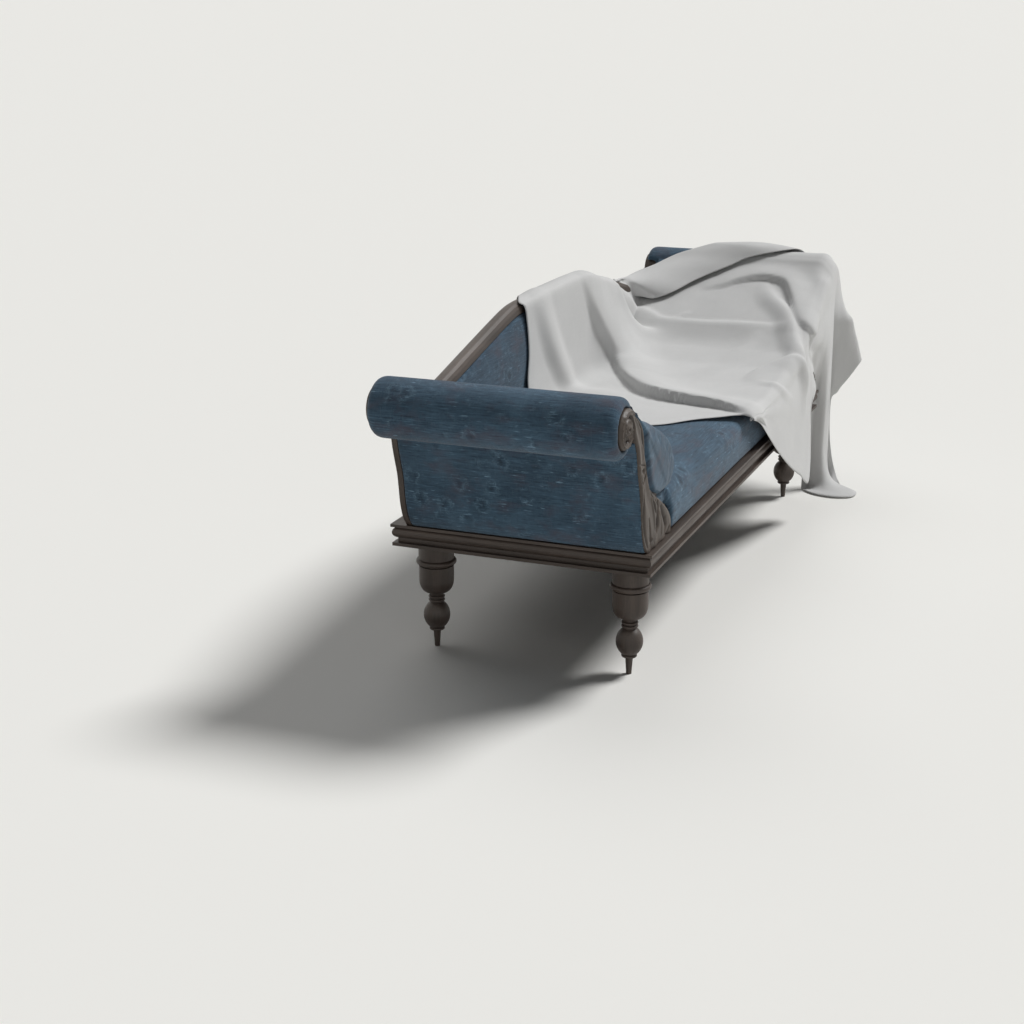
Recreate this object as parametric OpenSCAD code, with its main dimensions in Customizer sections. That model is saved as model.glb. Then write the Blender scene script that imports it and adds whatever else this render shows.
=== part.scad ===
// Camelback chaise longue: scroll arms with carved facings, turned legs and a loose throw.
// X runs along the seat with the foot end at -X, the open front faces -Y, and +Z is up.
// The origin is on the floor under the middle of the base.

/* [Base] */
// Length of the moulded base over its ledge
base_len = 1784; // [1640:1:1960]
// Depth of the moulded base from front to back
base_depth = 660; // [620:1:720]
// Height of the base ledge above the floor
ledge_h = 336; // [326:1:356]
// Width of each base rail seen from above
rail_w = 110; // [104:1:122]
// Thickness of the ledge
ledge_t = 7; // [5:0.5:10]
// Height of the rounded moulding under the ledge
ovolo_h = 29; // [24:1:34]
// How far the rounded moulding stands back from the ledge
ovolo_back = 2.5; // [1:0.5:5]
// Height of the groove under the rounded moulding
groove_h = 11; // [8:1:14]
// Depth of the groove under the rounded moulding
groove_d = 14; // [8:1:18]
// Thickness of the plate that closes the base below
plate_t = 8; // [6:1:12]
// How far the plate stands back from the ledge
plate_back = 3; // [1:0.5:6]

/* [Legs] */
// Distance of a leg's axis from the end of the base
leg_inset_x = 93; // [84:1:104]
// Distance of a leg's axis from the front or back of the base
leg_inset_y = 79; // [70:1:84]
// Diameter of the plain drum at the top of a leg
drum_d = 88; // [78:1:96]
// Height of the plain drum
drum_h = 49; // [40:1:56]
// Diameter of the turned ring under the drum
ring_d = 100; // [92:1:106]
// Height of the turned ring
ring_h = 15; // [12:1:18]
// Diameter of the cup under the ring
cup_d = 86.5; // [76:0.5:90]
// Height of the straight part of the cup
cup_h = 40; // [34:1:46]
// Height of the round bottom of the cup
cup_round_h = 33; // [28:1:38]
// Diameter of the neck between cup and ball
neck_d = 32; // [28:1:36]
// Height of the neck with its two beads
neck_h = 27; // [25:1:32]
// Diameter of the two beads on the neck
bead_d = 41; // [38:1:46]
// Largest diameter of the ball
ball_d = 66; // [58:1:74]
// Height of the ball
ball_h = 66; // [60:1:72]
// Diameter of the small ring under the ball
foot_ring_d = 38; // [34:1:42]
// Height of the small ring under the ball
foot_ring_h = 7; // [5:1:9]
// Diameter of the peg foot at its top
peg_top_d = 19; // [16:1:24]
// Diameter of the peg foot on the floor
peg_d = 13; // [10:1:15]
// Diameter of the turned pin that holds a leg in its rail
pin_d = 18; // [14:1:18]
// Length of that pin
pin_len = 40; // [30:1:44]

/* [Seat] */
// Height of the seat's edge above the ledge
seat_rise = 110; // [102:1:124]
// How much the seat's middle rises above its edge
seat_crown = 10; // [4:1:16]
// Height of the seat rails
seat_rail_h = 64; // [56:1:70]
// Thickness of the seat rails
seat_rail_t = 32; // [24:1:36]
// Roundness of the seat's front edge
seat_round = 26; // [18:1:30]
// Thickness of the seat cover with its top stuffing at the front
cover_t = 15; // [10:1:18]
// Width of a webbing strip
web_w = 50; // [40:1:55]
// Thickness of webbing
web_t = 2; // [1:0.5:3]
// Thickness of the hessian over the webbing
hessian_t = 1; // [0.8:0.1:2]

/* [Arms] */
// How far the middle of the roll stands out past the base
arm_flare = 150; // [130:1:170]
// Height of the middle of the roll above the ledge
arm_rise = 331; // [311:1:346]
// Radius of the covered roll
roll_r = 71; // [66:1:76]
// Radius of the wooden core in the roll
core_r = 48; // [44:1:52]
// Roundness of the roll's padded ends
roll_round = 20; // [14:1:22]
// How far the arm's back face stands in from the back of the base
arm_back_inset = 40; // [34:1:46]
// Distance of the carved facing's back from the front of the base
facing_inset = 30; // [26:1:36]
// Thickness of a facing in its low places
facing_t = 14; // [11:1:16]
// How far the carving stands up from the low places
relief = 5; // [2:0.5:7]
// Radius of the volute's outer turn
volute_r = 46; // [42:1:47]
// Thickness of the scroll boards inside the arms
board_t = 28; // [22:1:32]
// Thickness of the rails that join the scroll boards
arm_rail_t = 28; // [22:1:32]
// Width of the rails that join the scroll boards
arm_rail_w = 36; // [30:1:40]
// Thickness of the outside arm cover with its padding
outside_t = 9; // [6:1:12]

/* [Back] */
// Height of the crest above the floor at the middle
crest_top = 773; // [755:1:795]
// Fall of the crest for each millimetre towards the arms
crest_fall = 0.232; // [0.2:0.004:0.26]
// Half length of the level middle of the crest
crest_level = 262; // [220:1:320]
// Softness of the bend between level and fall
crest_soft = 50; // [30:1:80]
// Height of the crest rail
crest_rail_h = 30; // [24:1:38]
// Depth of the crest rail from front to back
crest_depth = 44; // [38:1:46]
// Thickness of the posts in the back
post_t = 28; // [22:1:30]
// Width of the posts in the back
post_w = 36; // [28:1:44]
// Thickness of the inside back pad at its edges
back_pad_t = 9; // [6:1:10]
// How much the inside back pad swells forward
back_crown = 8; // [3:1:12]
// Thickness of the cover on the outside of the back
back_cover_t = 3; // [2:0.5:5]

/* [Throw] */
// Thickness of the throw as a solid
throw_t = 3; // [2:0.5:3.5]
// Space between the throw and what it lies on
throw_gap = 4; // [3:0.5:8]
// Height of the throw's deepest fold
fold_depth = 27; // [0:1:30]

/* [Hidden] */
$fn = 64;
// Clearance all round a wooden pin in its hole
pin_gap = 0.2;
// Clearance between a soft piece and its neighbour
soft_gap = 0.4;
half_len = base_len / 2;
half_depth = base_depth / 2;
base_h = ledge_t + ovolo_h + groove_h + plate_t;
base_under = ledge_h - base_h;
leg_x = half_len - leg_inset_x;
leg_y = half_depth - leg_inset_y;
facing_y = -half_depth + facing_inset;
arm_back_y = half_depth - arm_back_inset;
rear_board_y = arm_back_y - facing_t - board_t;
roll_x = half_len + arm_flare;
roll_z = ledge_h + arm_rise;
// Stand-in of the covers from the ledge's edge, at the foot of the scroll
edge_margin = 9;
seat_z = ledge_h + seat_rise;
seat_rail_top = ledge_h + seat_rail_h;
web_top = seat_rail_top + web_t;
hessian_top = web_top + hessian_t;
first_top = seat_z - cover_t + 1;
crest_back_y = arm_back_y;
crest_front_y = crest_back_y - crest_depth;
post_front_y = crest_back_y - back_cover_t - soft_gap - post_t;
post_back_y = post_front_y + post_t;
pad_back_y = post_front_y - web_t;

walnut = [0.30, 0.24, 0.21];
beech = [0.72, 0.58, 0.42];
jute = [0.66, 0.56, 0.40];
linen = [0.60, 0.55, 0.45];
blue = [0.24, 0.34, 0.44];
black_cloth = [0.12, 0.12, 0.13];
throw_grey = [0.76, 0.76, 0.76];

// Smooth curve through hand-placed points, with steps points to each stretch
function curve_at(p, i, t) =
    let (a = p[max(i - 1, 0)], b = p[i], c = p[i + 1], d = p[min(i + 2, len(p) - 1)])
    (2 * b + (c - a) * t + (2 * a - 5 * b + 4 * c - d) * t * t
        + (3 * b - a - 3 * c + d) * t * t * t) / 2;
function curve(p, steps) = concat(
    [for (i = [0:len(p) - 2], k = [0:steps - 1]) curve_at(p, i, k / steps)],
    [p[len(p) - 1]]);
function mix(a, b, t) = a + (b - a) * t;
function reversed(p) = [for (i = [len(p) - 1:-1:0]) p[i]];
function arc(cx, cy, r, from, to, n) =
    [for (i = [0:n]) [cx + r * cos(mix(from, to, i / n)), cy + r * sin(mix(from, to, i / n))]];
// Place on an arm: share of the flare outwards and share of the rise above the ledge
function arm_at(s) = [half_len - edge_margin + s[0] * (arm_flare + edge_margin),
    ledge_h + s[1] * arm_rise];

// Closed solid through a row of rings with equal counts of points
module loft(rings) {
    n = len(rings[0]);
    m = len(rings);
    points = [for (r = rings, p = r) p];
    sides = [for (i = [0:m - 2], j = [0:n - 1], k = [0, 1])
        let (a = i * n + j, b = i * n + (j + 1) % n, c = (i + 1) * n + j, d = (i + 1) * n + (j + 1) % n)
        k == 0 ? [a, b, c] : [b, d, c]];
    caps = [[for (j = [n - 1:-1:0]) j], [for (j = [0:n - 1]) (m - 1) * n + j]];
    polyhedron(points, concat(sides, caps), convexity = 8);
}

// Solid with a drawn outline in X and Z between two places in Y
module across(y0, y1) {
    translate([0, y1, 0]) rotate([90, 0, 0]) linear_extrude(y1 - y0) children();
}

module at_foot() { mirror([1, 0, 0]) children(); }

// Leg, turned round Z, from its peg foot to the pin that goes up into the rail
ring_z = base_under - drum_h;
cup_z = ring_z - ring_h - cup_h;
neck_z = cup_z - cup_round_h;
ball_z = neck_z - neck_h;
foot_ring_z = ball_z - ball_h;
peg_z = foot_ring_z - foot_ring_h;
bead_h = 6;
ball_end_r = peg_top_d / 2 + 7;
function leg_profile() = concat(
    [[0, 0], [peg_d / 2, 0], [peg_top_d / 2, peg_z]],
    arc(foot_ring_d / 2 - foot_ring_h / 2, peg_z + foot_ring_h / 2, foot_ring_h / 2, -90, 90, 8),
    [for (i = [0:16]) let (s = mix(-60, 60, i / 16))
        [mix(ball_end_r, ball_d / 2, (cos(s) - 0.5) * 2), ball_z - ball_h / 2 + ball_h / 2 * sin(s) / sin(60)]],
    [[neck_d / 2, ball_z + 0.5], [neck_d / 2, ball_z + 3]],
    arc(bead_d / 2 - bead_h / 2, ball_z + 3 + bead_h / 2, bead_h / 2, -90, 90, 6),
    [[neck_d / 2, ball_z + 3 + bead_h], [neck_d / 2, ball_z + 6 + bead_h]],
    arc(bead_d / 2 - bead_h / 2, ball_z + 6 + bead_h * 1.5, bead_h / 2, -90, 90, 6),
    [[neck_d / 2, ball_z + 6 + bead_h * 2], [neck_d / 2 + 1, neck_z - 2], [bead_d / 2 + 2, neck_z]],
    [for (i = [1:10]) let (s = 90 * i / 10)
        [mix(bead_d / 2 + 2, cup_d / 2, sin(s)), neck_z + cup_round_h * (1 - cos(s))]],
    [[cup_d / 2, ring_z - ring_h - 3], [cup_d / 2 - 4, ring_z - ring_h - 2], [cup_d / 2 - 4, ring_z - ring_h]],
    arc(ring_d / 2 - ring_h / 2, ring_z - ring_h / 2, ring_h / 2, -90, 90, 10),
    [[drum_d / 2, ring_z], [drum_d / 2, base_under], [pin_d / 2, base_under],
        [pin_d / 2, base_under + pin_len], [0, base_under + pin_len]]);

module leg(sx, sy) {
    color(walnut) translate([sx * leg_x, sy * leg_y, 0]) rotate_extrude() polygon(leg_profile());
}

// Base rail, with its moulding towards -Y, mitred at both ends
function rail_profile() = concat(
    [[0, 0], [0, -ledge_t]],
    arc(ovolo_back + ovolo_h / 2, -ledge_t - ovolo_h / 2, ovolo_h / 2, 90, 270, 12),
    [[groove_d, -ledge_t - ovolo_h], [groove_d, -ledge_t - ovolo_h - groove_h],
        [plate_back, -ledge_t - ovolo_h - groove_h], [plate_back, -base_h],
        [rail_w, -base_h], [rail_w, 0]]);

module rail(length, depth) {
    intersection() {
        translate([-length / 2, -depth / 2, ledge_h]) rotate([90, 0, 90])
            linear_extrude(length) polygon(rail_profile());
        translate([0, 0, base_under - 1]) linear_extrude(base_h + 2) polygon([
            [-length / 2, -depth / 2], [length / 2, -depth / 2],
            [length / 2 - rail_w, -depth / 2 + rail_w], [-length / 2 + rail_w, -depth / 2 + rail_w]]);
    }
}

module long_rail() {
    color(walnut) difference() {
        rail(base_len, base_depth);
        for (sx = [-1, 1]) translate([sx * leg_x, -leg_y, base_under - 1])
            cylinder(h = pin_len + 2, r = pin_d / 2 + pin_gap);
    }
}

module end_rail() {
    color(walnut) rotate([0, 0, -90]) rail(base_depth, base_len);
}

// Three-cornered blocks glued into the corners of the base
block_side = 90;
module corner_blocks() {
    color(beech) for (sx = [-1, 1], sy = [-1, 1])
        translate([sx * (half_len - rail_w), sy * (half_depth - rail_w), base_under])
            mirror([sx > 0 ? 1 : 0, 0, 0]) mirror([0, sy > 0 ? 1 : 0, 0])
                linear_extrude(base_h) polygon([[0, 0], [block_side, 0], [0, block_side]]);
}

// Braces across the base that keep the long rails straight
brace_w = 60;
brace_h = 32;
brace_x = 270;
module cross_braces() {
    color(beech) for (sx = [-1, 1])
        translate([sx * brace_x - brace_w / 2, -half_depth + rail_w, ledge_h - brace_h])
            cube([brace_w, base_depth - 2 * rail_w, brace_h]);
}

// Black cloth tacked under the base
dust_t = 1;
dust_lap = 16;
module dust_cover() {
    color(black_cloth) difference() {
        translate([-half_len + rail_w - dust_lap, -half_depth + rail_w - dust_lap, base_under - dust_t])
            cube([base_len - 2 * rail_w + 2 * dust_lap, base_depth - 2 * rail_w + 2 * dust_lap, dust_t]);
        for (sx = [-1, 1], sy = [-1, 1]) translate([sx * leg_x, sy * leg_y, base_under - dust_t - 1])
            cylinder(h = dust_t + 2, r = drum_d / 2 + 1);
    }
}

// Slope on which an arm's inside pad lies, from the seat up to the roll
slope_from = arm_at([-0.723, 0.417]);
slope_to = arm_at([0.569, 1.078]);
slope_angle = atan2(slope_to[1] - slope_from[1], slope_to[0] - slope_from[0]);
slope_len = norm(slope_to - slope_from);
// Space under the slope for webbing and hessian
slope_drop = web_t + hessian_t;
function on_slope(s, up) = slope_from
    + s * [cos(slope_angle), sin(slope_angle)] + up * [-sin(slope_angle), cos(slope_angle)];
board_foot_x = slope_from[0] + 2;

// Seat rails, stood on the base between the arms' scroll boards
module seat_rail_long(y) {
    color(beech) translate([-board_foot_x, y, ledge_h])
        cube([2 * board_foot_x, seat_rail_t, seat_rail_h]);
}
seat_back_y = post_front_y - seat_rail_t;
module seat_rail_end() {
    color(beech) translate([board_foot_x - seat_rail_t, facing_y + seat_rail_t, ledge_h])
        cube([seat_rail_t, seat_back_y - facing_y - seat_rail_t, seat_rail_h]);
}

seat_deep = post_front_y - facing_y;
web_cross_count = 12;
web_long_count = 5;
module seat_webbing() {
    color(jute) union() {
        for (i = [0:web_cross_count - 1])
            translate([mix(-board_foot_x + 20, board_foot_x - 20 - web_w, i / (web_cross_count - 1)),
                facing_y, seat_rail_top]) cube([web_w, seat_deep, web_t]);
        for (i = [0:web_long_count - 1])
            translate([-board_foot_x, mix(facing_y + 20, post_front_y - 20 - web_w,
                i / (web_long_count - 1)), seat_rail_top]) cube([2 * board_foot_x, web_w, web_t]);
    }
}

module seat_hessian() {
    color(linen) translate([-board_foot_x, facing_y, web_top])
        cube([2 * board_foot_x, seat_deep, hessian_t]);
}

// Firm first stuffing with a rolled front edge
stuff_half = board_foot_x - 7;
stuff_back_y = pad_back_y - back_pad_t - 6;
stuff_round = 18;
stuff_edge = 8;
module seat_first_stuffing() {
    depth = stuff_back_y - facing_y - 2;
    color(linen) translate([-stuff_half, facing_y + 2, hessian_top]) rotate([90, 0, 90])
        linear_extrude(2 * stuff_half) polygon(concat(
            [[0, 0]], arc(stuff_round, first_top - hessian_top - stuff_round, stuff_round, 180, 90, 2),
            [[depth - stuff_edge, first_top - hessian_top], [depth, first_top - hessian_top - stuff_edge],
                [depth, 0]]));
}

// Seat cover with the soft top stuffing: crowned top, drawn-in ends and a front that drops to the ledge
cover_half = board_foot_x - 4;
leaf_half = half_len - edge_margin - 1.19 * (arm_flare + edge_margin);
cover_stations = 30;
// Length over which the cover narrows to pass behind the leaf of a facing
tuck_run = 0.3;
// Share of the crown that is left at the ends
crown_end = 0.05;
function cover_crown(x) = seat_crown * (1 - (1 - crown_end) * pow(abs(x) / cover_half, 4));
function cover_ring(x) =
    let (tucked = abs(x) > leaf_half - tuck_run / 2,
        front = tucked ? facing_y + 0.3 : facing_y - cover_t - soft_gap,
        back = stuff_back_y + 5, top = seat_z, crown = cover_crown(x),
        r = tucked ? seat_round - cover_t : seat_round,
        inner = facing_y + 2 - soft_gap, low = hessian_top + soft_gap, under = first_top + soft_gap)
    [for (p = concat(
        tucked ? [[front, low], [front, low + 8]]
            : [[front, ledge_h + soft_gap], [front - 2.5, mix(ledge_h, top, 0.45)]],
        arc(front + r, top - r, r, 180, 90, 6),
        [for (i = [1:8]) let (s = i / 9)
            [mix(front + r, back - 10, s), top + crown * pow(sin(180 * s), 0.7)]],
        [[back - 10, top - 1], [back - 3, top - 6], [back, top - 15], [back, low],
            [stuff_back_y + soft_gap, low], [stuff_back_y + soft_gap, under - stuff_edge],
            [stuff_back_y - stuff_edge + soft_gap, under], [facing_y + 2 + stuff_round, under],
            [inner + stuff_round * 0.293, under - stuff_round * 0.293], [inner, under - stuff_round]],
        tucked ? [[inner, low + 3], [inner - 0.3, low + 1.5], [inner - 0.6, low]]
            : [[inner, low], [facing_y - soft_gap, low], [facing_y - soft_gap, ledge_h + soft_gap]]))
        [x, p[0], p[1]]];
module seat_cover() {
    color(blue) loft(concat([cover_ring(-cover_half), cover_ring(-leaf_half)],
        [for (i = [0:cover_stations]) cover_ring(mix(-1, 1, i / cover_stations) * (leaf_half - tuck_run))],
        [cover_ring(leaf_half), cover_ring(cover_half)]));
}

// Outer and inner edge of the scroll, from the ledge up to the volute
outer_edge = [[0, 0], [0.132, 0.079], [0.22, 0.193], [0.264, 0.314], [0.308, 0.429], [0.384, 0.535],
    [0.453, 0.64], [0.522, 0.767], [0.642, 0.873]];
function edge_curve(inset) = [for (s = curve(outer_edge, 3)) arm_at(s) - [inset, 0]];
board_inset = outside_t - 3;

module scroll_outline(inset, head_r) {
    polygon(concat(edge_curve(inset), [[roll_x, roll_z]],
        [on_slope(slope_len, -slope_drop - 24), on_slope(slope_len - 30, -slope_drop)],
        [on_slope(0, -slope_drop), [board_foot_x, on_slope(0, -slope_drop)[1] - 2], [board_foot_x, ledge_h]]));
    translate([roll_x, roll_z]) circle(head_r);
}

module front_board() {
    color(beech) across(facing_y, facing_y + board_t) scroll_outline(board_inset, core_r);
}
module rear_board() {
    color(beech) across(rear_board_y, rear_board_y + board_t) scroll_outline(board_inset, core_r);
}

module roll_core() {
    color(beech) translate([roll_x, rear_board_y, roll_z]) rotate([90, 0, 0])
        cylinder(h = rear_board_y - facing_y - board_t, r = core_r);
}

// Rail between the two scroll boards, laid along the slope
module slope_rail(s) {
    p = on_slope(s, -slope_drop - arm_rail_t);
    color(beech) translate([p[0], facing_y + board_t, p[1]]) rotate([0, -slope_angle, 0])
        cube([arm_rail_w, rear_board_y - facing_y - board_t, arm_rail_t]);
}
stuffing_rail_s = 12;
top_rail_s = slope_len - 100;

tacking_x = half_len - edge_margin - board_inset - arm_rail_t - 2;
module tacking_rail() {
    color(beech) translate([tacking_x, facing_y + board_t, ledge_h])
        cube([arm_rail_t, rear_board_y - facing_y - board_t, arm_rail_w]);
}

arm_web_count = 6;
module arm_webbing() {
    p = on_slope(stuffing_rail_s, -slope_drop);
    color(jute) for (i = [0:arm_web_count - 1])
        translate([p[0],
            mix(facing_y + board_t + 10, rear_board_y - 10 - web_w, i / (arm_web_count - 1)), p[1]])
            rotate([0, -slope_angle, 0]) cube([top_rail_s + arm_rail_w - stuffing_rail_s, web_w, web_t]);
}

// Fat inside pad: its section changes from the front rim to the full swell behind it
pad_swell = [[0.642, 1.136], [0.327, 1.027], [-0.019, 0.943], [-0.371, 0.888], [-0.73, 0.819],
    [-1.107, 0.719], [-1.39, 0.586], [-1.472, 0.465], [-1.352, 0.372]];
pad_rim = [[0.535, 1.098], [0.24, 0.966], [-0.069, 0.876], [-0.371, 0.828], [-0.73, 0.758],
    [-1.107, 0.659], [-1.296, 0.55], [-1.346, 0.45], [-1.126, 0.385]];
// Edge of the carved facing that the front of the pad meets
facing_inner = [[-0.60, 0.352], [-0.302, 0.408], [-0.128, 0.484], [-0.018, 0.628], [0.067, 0.741],
    [0.137, 0.832], [0.212, 0.931], [0.45, 1.05]];
pad_front_y = facing_y - facing_t;
pad_round = 28;
pad_foot_z = seat_z + seat_crown * 0.5 + soft_gap + 0.2;
function pad_foot(p) = [p[0], max(p[1], pad_foot_z)];
function pad_ring(y, lip) =
    let (d = min(1, (y - pad_front_y) / pad_round), f = sqrt(max(0, 1 - pow(1 - d, 2))),
        upper = curve([for (i = [0:len(pad_swell) - 1]) arm_at(mix(pad_rim[i], pad_swell[i], f))], 2),
        lower = [for (i = [0:len(facing_inner) - 1]) lip ? arm_at(facing_inner[i])
            : on_slope(slope_len * i / (len(facing_inner) - 1), soft_gap)],
        foot = [upper[len(upper) - 1][0], pad_foot_z],
        heel = [lip ? lower[0][0] - 8 : slope_from[0], pad_foot_z])
    [for (p = concat([for (q = upper) pad_foot(q)], [foot, heel], [for (q = lower) pad_foot(q)]))
        [p[0], y, p[1]]];
pad_back_end = pad_back_y - back_pad_t - back_crown - soft_gap;
module inside_pad() {
    color(blue) loft(concat(
        [for (d = [0, 3, 7.5]) pad_ring(pad_front_y + d, true)],
        [pad_ring(facing_y - soft_gap / 4, true), pad_ring(facing_y, false)],
        [for (d = [19, 24, 28]) pad_ring(pad_front_y + d, false)],
        [for (i = [1:4]) pad_ring(mix(pad_front_y + pad_round, pad_back_end, i / 4), false)]));
}

// Roll cover round the core, with soft round ends; the arm's scroll boards pass through it
roll_hole = core_r + soft_gap;
roll_front_y = facing_y - 9;
roll_back_y = arm_back_y - 7;
module roll_pad() {
    length = roll_back_y - roll_front_y;
    lip = roll_r - roll_round;
    color(blue) difference() {
        translate([roll_x, roll_back_y, roll_z]) rotate([90, 0, 0]) rotate_extrude($fn = 96)
            polygon(concat([[roll_hole, 0]], arc(lip, roll_round, roll_round, -90, 0, 8),
                arc(lip, length - roll_round, roll_round, 0, 90, 8), [[roll_hole, length]]));
        across(facing_y - 30, facing_y - 0.05) facing_neck();
        across(facing_y - 0.06, facing_y + board_t + soft_gap) neck_outline();
        across(rear_board_y - soft_gap, arm_back_y + 10) neck_outline();
    }
}
// The neck's outline with clearance, where the boards and facings cross the roll cover
module neck_outline() {
    polygon([arm_at([0.50, 0.70]), arm_at([0.66, 0.862]), arm_at([0.80, 0.90]), [roll_x, roll_z],
        arm_at([0.80, 1.09]), on_slope(slope_len + 12, 3), on_slope(slope_len - 70, 3)]);
}
// The carved band's outline with clearance, where it nestles into the roll's front end
module facing_neck() {
    polygon(concat([arm_at([0.22, 0.92]), arm_at([0.50, 0.70]), arm_at([0.66, 0.862]), arm_at([0.80, 0.90]),
        [roll_x, roll_z]], [for (a = [85:-10:15]) wind_at(wind_outer(a) + 1, a)],
        [for (i = [12, 11]) arm_at(band_inner[i]) + [-2, 2]]));
}

// Outside cover of an arm, along the scroll's outer edge from the ledge to the roll
module outside_cover() {
    inner = edge_curve(board_inset - soft_gap);
    outer = edge_curve(-3);
    last = len(inner) - 1;
    color(blue) across(facing_y + soft_gap, rear_board_y + board_t - soft_gap) difference() {
        polygon(concat([[inner[0][0], ledge_h + soft_gap]], [for (i = [1:last]) inner[i]],
            [for (i = [last:-1:1]) outer[i]], [[outer[0][0], ledge_h + soft_gap]]));
        translate([roll_x, roll_z]) circle(roll_r + soft_gap);
    }
}

// Rear facing: a plain scroll board that closes the arm's end behind
module rear_facing() {
    color(walnut) across(arm_back_y - facing_t, arm_back_y) scroll_outline(0, volute_r);
}

// Carved facing. Pairs of points give the band's outer and inner edge up the scroll;
// the band then winds into the volute, where each turn lies just inside the one before.
band_outer = [[0, 0.002], [0.094, 0.051], [0.157, 0.109], [0.22, 0.193], [0.264, 0.314], [0.296, 0.393],
    [0.333, 0.468], [0.384, 0.535], [0.447, 0.619], [0.497, 0.725], [0.56, 0.816], [0.642, 0.873],
    [0.73, 0.943]];
band_inner = [[-1.132, 0.002], [-1.176, 0.042], [-1.157, 0.109], [-0.981, 0.199], [-0.648, 0.305],
    [-0.321, 0.393], [-0.145, 0.462], [-0.082, 0.535], [-0.006, 0.622], [0.075, 0.731], [0.145, 0.822],
    [0.22, 0.912], [0.39, 0.994]];
turn_gap = 0.8;
eye_r = 3;
wind_from = 15;
wind_to = 722;
wind_steps = 44;
// Width of the band where the winding starts, and where it begins to close in on the eye
turn_w = 13;
close_w = 17;
close_from = 290;
close_to = 385;
// Angles between which the first turn's outer edge passes under the start of the band
pass_from = 320;
pass_to = 372;
// How far the band widens where it comes up the scroll
neck_w = 20;
// Inner radius of the winding band at an angle from the seat's side, and its outer radius
function wind_inner(a) = a < close_from ? volute_r - mix(turn_w, close_w, a / close_from)
    : a < close_to ? mix(volute_r - close_w, eye_r, pow((a - close_from) / (close_to - close_from), 1.4))
    : eye_r;
function wind_outer(a) = a >= pass_to ? wind_inner(a - 360) - turn_gap
    : a > pass_from
        ? mix(volute_r, wind_inner(pass_to - 360) - turn_gap, (a - pass_from) / (pass_to - pass_from))
    : a < 90 ? volute_r + neck_w * pow((90 - a) / 75, 2) : volute_r;
function wind_at(r, a) = [roll_x - r * cos(a), roll_z + r * sin(a)];
// Front surface across the band: raised strap with a sunk channel beside it, flutes on the leaf
band_across = [0, 0.07, 0.17, 0.32, 0.47, 0.60, 0.70, 0.77, 0.90, 1];
function leaf_share(t) = max(0, 1 - t / 0.42);
function carved(t, v) =
    let (leaf = leaf_share(t), edge = (v < 0.02 || v > 0.98) ? -3 : 0,
        strap = v < 0.72 ? relief * (0.55 + 0.45 * cos(360 * (v / 0.72 - 0.08))) : -1.5,
        flutes = relief * (0.25 + 0.75 * abs(cos(180 * (v * 3 + t)))))
    edge + mix(strap, flutes, leaf > 0 ? min(1, leaf * 2) : 0);
function facing_ring(outer, inner, t) = concat(
    [for (v = band_across) let (p = mix(outer, inner, v)) [p[0], facing_y - facing_t - carved(t, v), p[1]]],
    [[inner[0], facing_y - soft_gap / 4, inner[1]], [outer[0], facing_y - soft_gap / 4, outer[1]]]);
module carved_facing() {
    up_outer = curve(band_outer, 2);
    up_inner = curve(band_inner, 2);
    last = len(up_outer) - 1;
    color(walnut) loft(concat(
        [for (i = [0:last]) facing_ring(arm_at(up_outer[i]), arm_at(up_inner[i]), i / last)],
        [for (k = [0:wind_steps]) let (a = mix(wind_from, wind_to, k / wind_steps))
            facing_ring(wind_at(wind_inner(a), a), wind_at(wind_outer(a), a), 1)]));
}

// Height of the crest's top along the back
function crest_z(x) = crest_top - crest_fall
    * (sqrt(pow(abs(x) - crest_level, 2) + pow(crest_soft, 2)) + abs(x) - crest_level) / 2;
function crest_under(x) = crest_z(x) - crest_rail_h;
// Where the slope of an arm's boards passes a height
function slope_x(z) = slope_from[0] + (z - slope_from[1] + slope_drop / cos(slope_angle)) / tan(slope_angle);
crest_stations = 36;
crest_end = slope_x(crest_under(slope_x(crest_under(slope_x(crest_under(slope_from[0])))))) - 4;

// Crest rail: a rounded moulding swept along the camelback, its ends cut to the arms' slope
function crest_section() = [
    for (p = [[0, 0.12], [0.04, 0.55], [0.14, 0.82], [0.32, 0.96], [0.5, 1], [0.68, 0.96], [0.86, 0.82],
        [0.96, 0.55], [1, 0.12], [0.95, 0], [0.05, 0]])
        [crest_front_y + p[0] * crest_depth, p[1] * crest_rail_h]];
module crest_rail() {
    color(walnut) loft([for (i = [-crest_stations:crest_stations]) let (x = crest_end * i / crest_stations)
        [for (p = crest_section()) let (z = crest_under(x) + p[1])
            [abs(i) == crest_stations ? sign(x) * (slope_x(z) - soft_gap) : x, p[0], z]]]);
}

// Posts of the back; their tops follow the underside of the crest rail
module post(x0, x1, z0) {
    color(beech) across(post_front_y, post_back_y) polygon([[x0, z0], [x1, z0],
        [x1, crest_under(x1) - soft_gap], [x0, crest_under(x0) - soft_gap]]);
}
end_post_x = board_foot_x - post_w;
module back_end_posts() {
    for (sx = [-1, 1])
        post(min(sx * end_post_x, sx * board_foot_x), max(sx * end_post_x, sx * board_foot_x), ledge_h);
}
stay_z = seat_z + 8;
stay_h = 40;
mid_post_x = 250;
module back_mid_posts() {
    for (sx = [-1, 1]) post(sx * mid_post_x - post_w / 2, sx * mid_post_x + post_w / 2, stay_z + stay_h);
}
module back_stuffing_rail() {
    color(beech) translate([-end_post_x, post_front_y, stay_z]) cube([2 * end_post_x, post_t, stay_h]);
}

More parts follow.
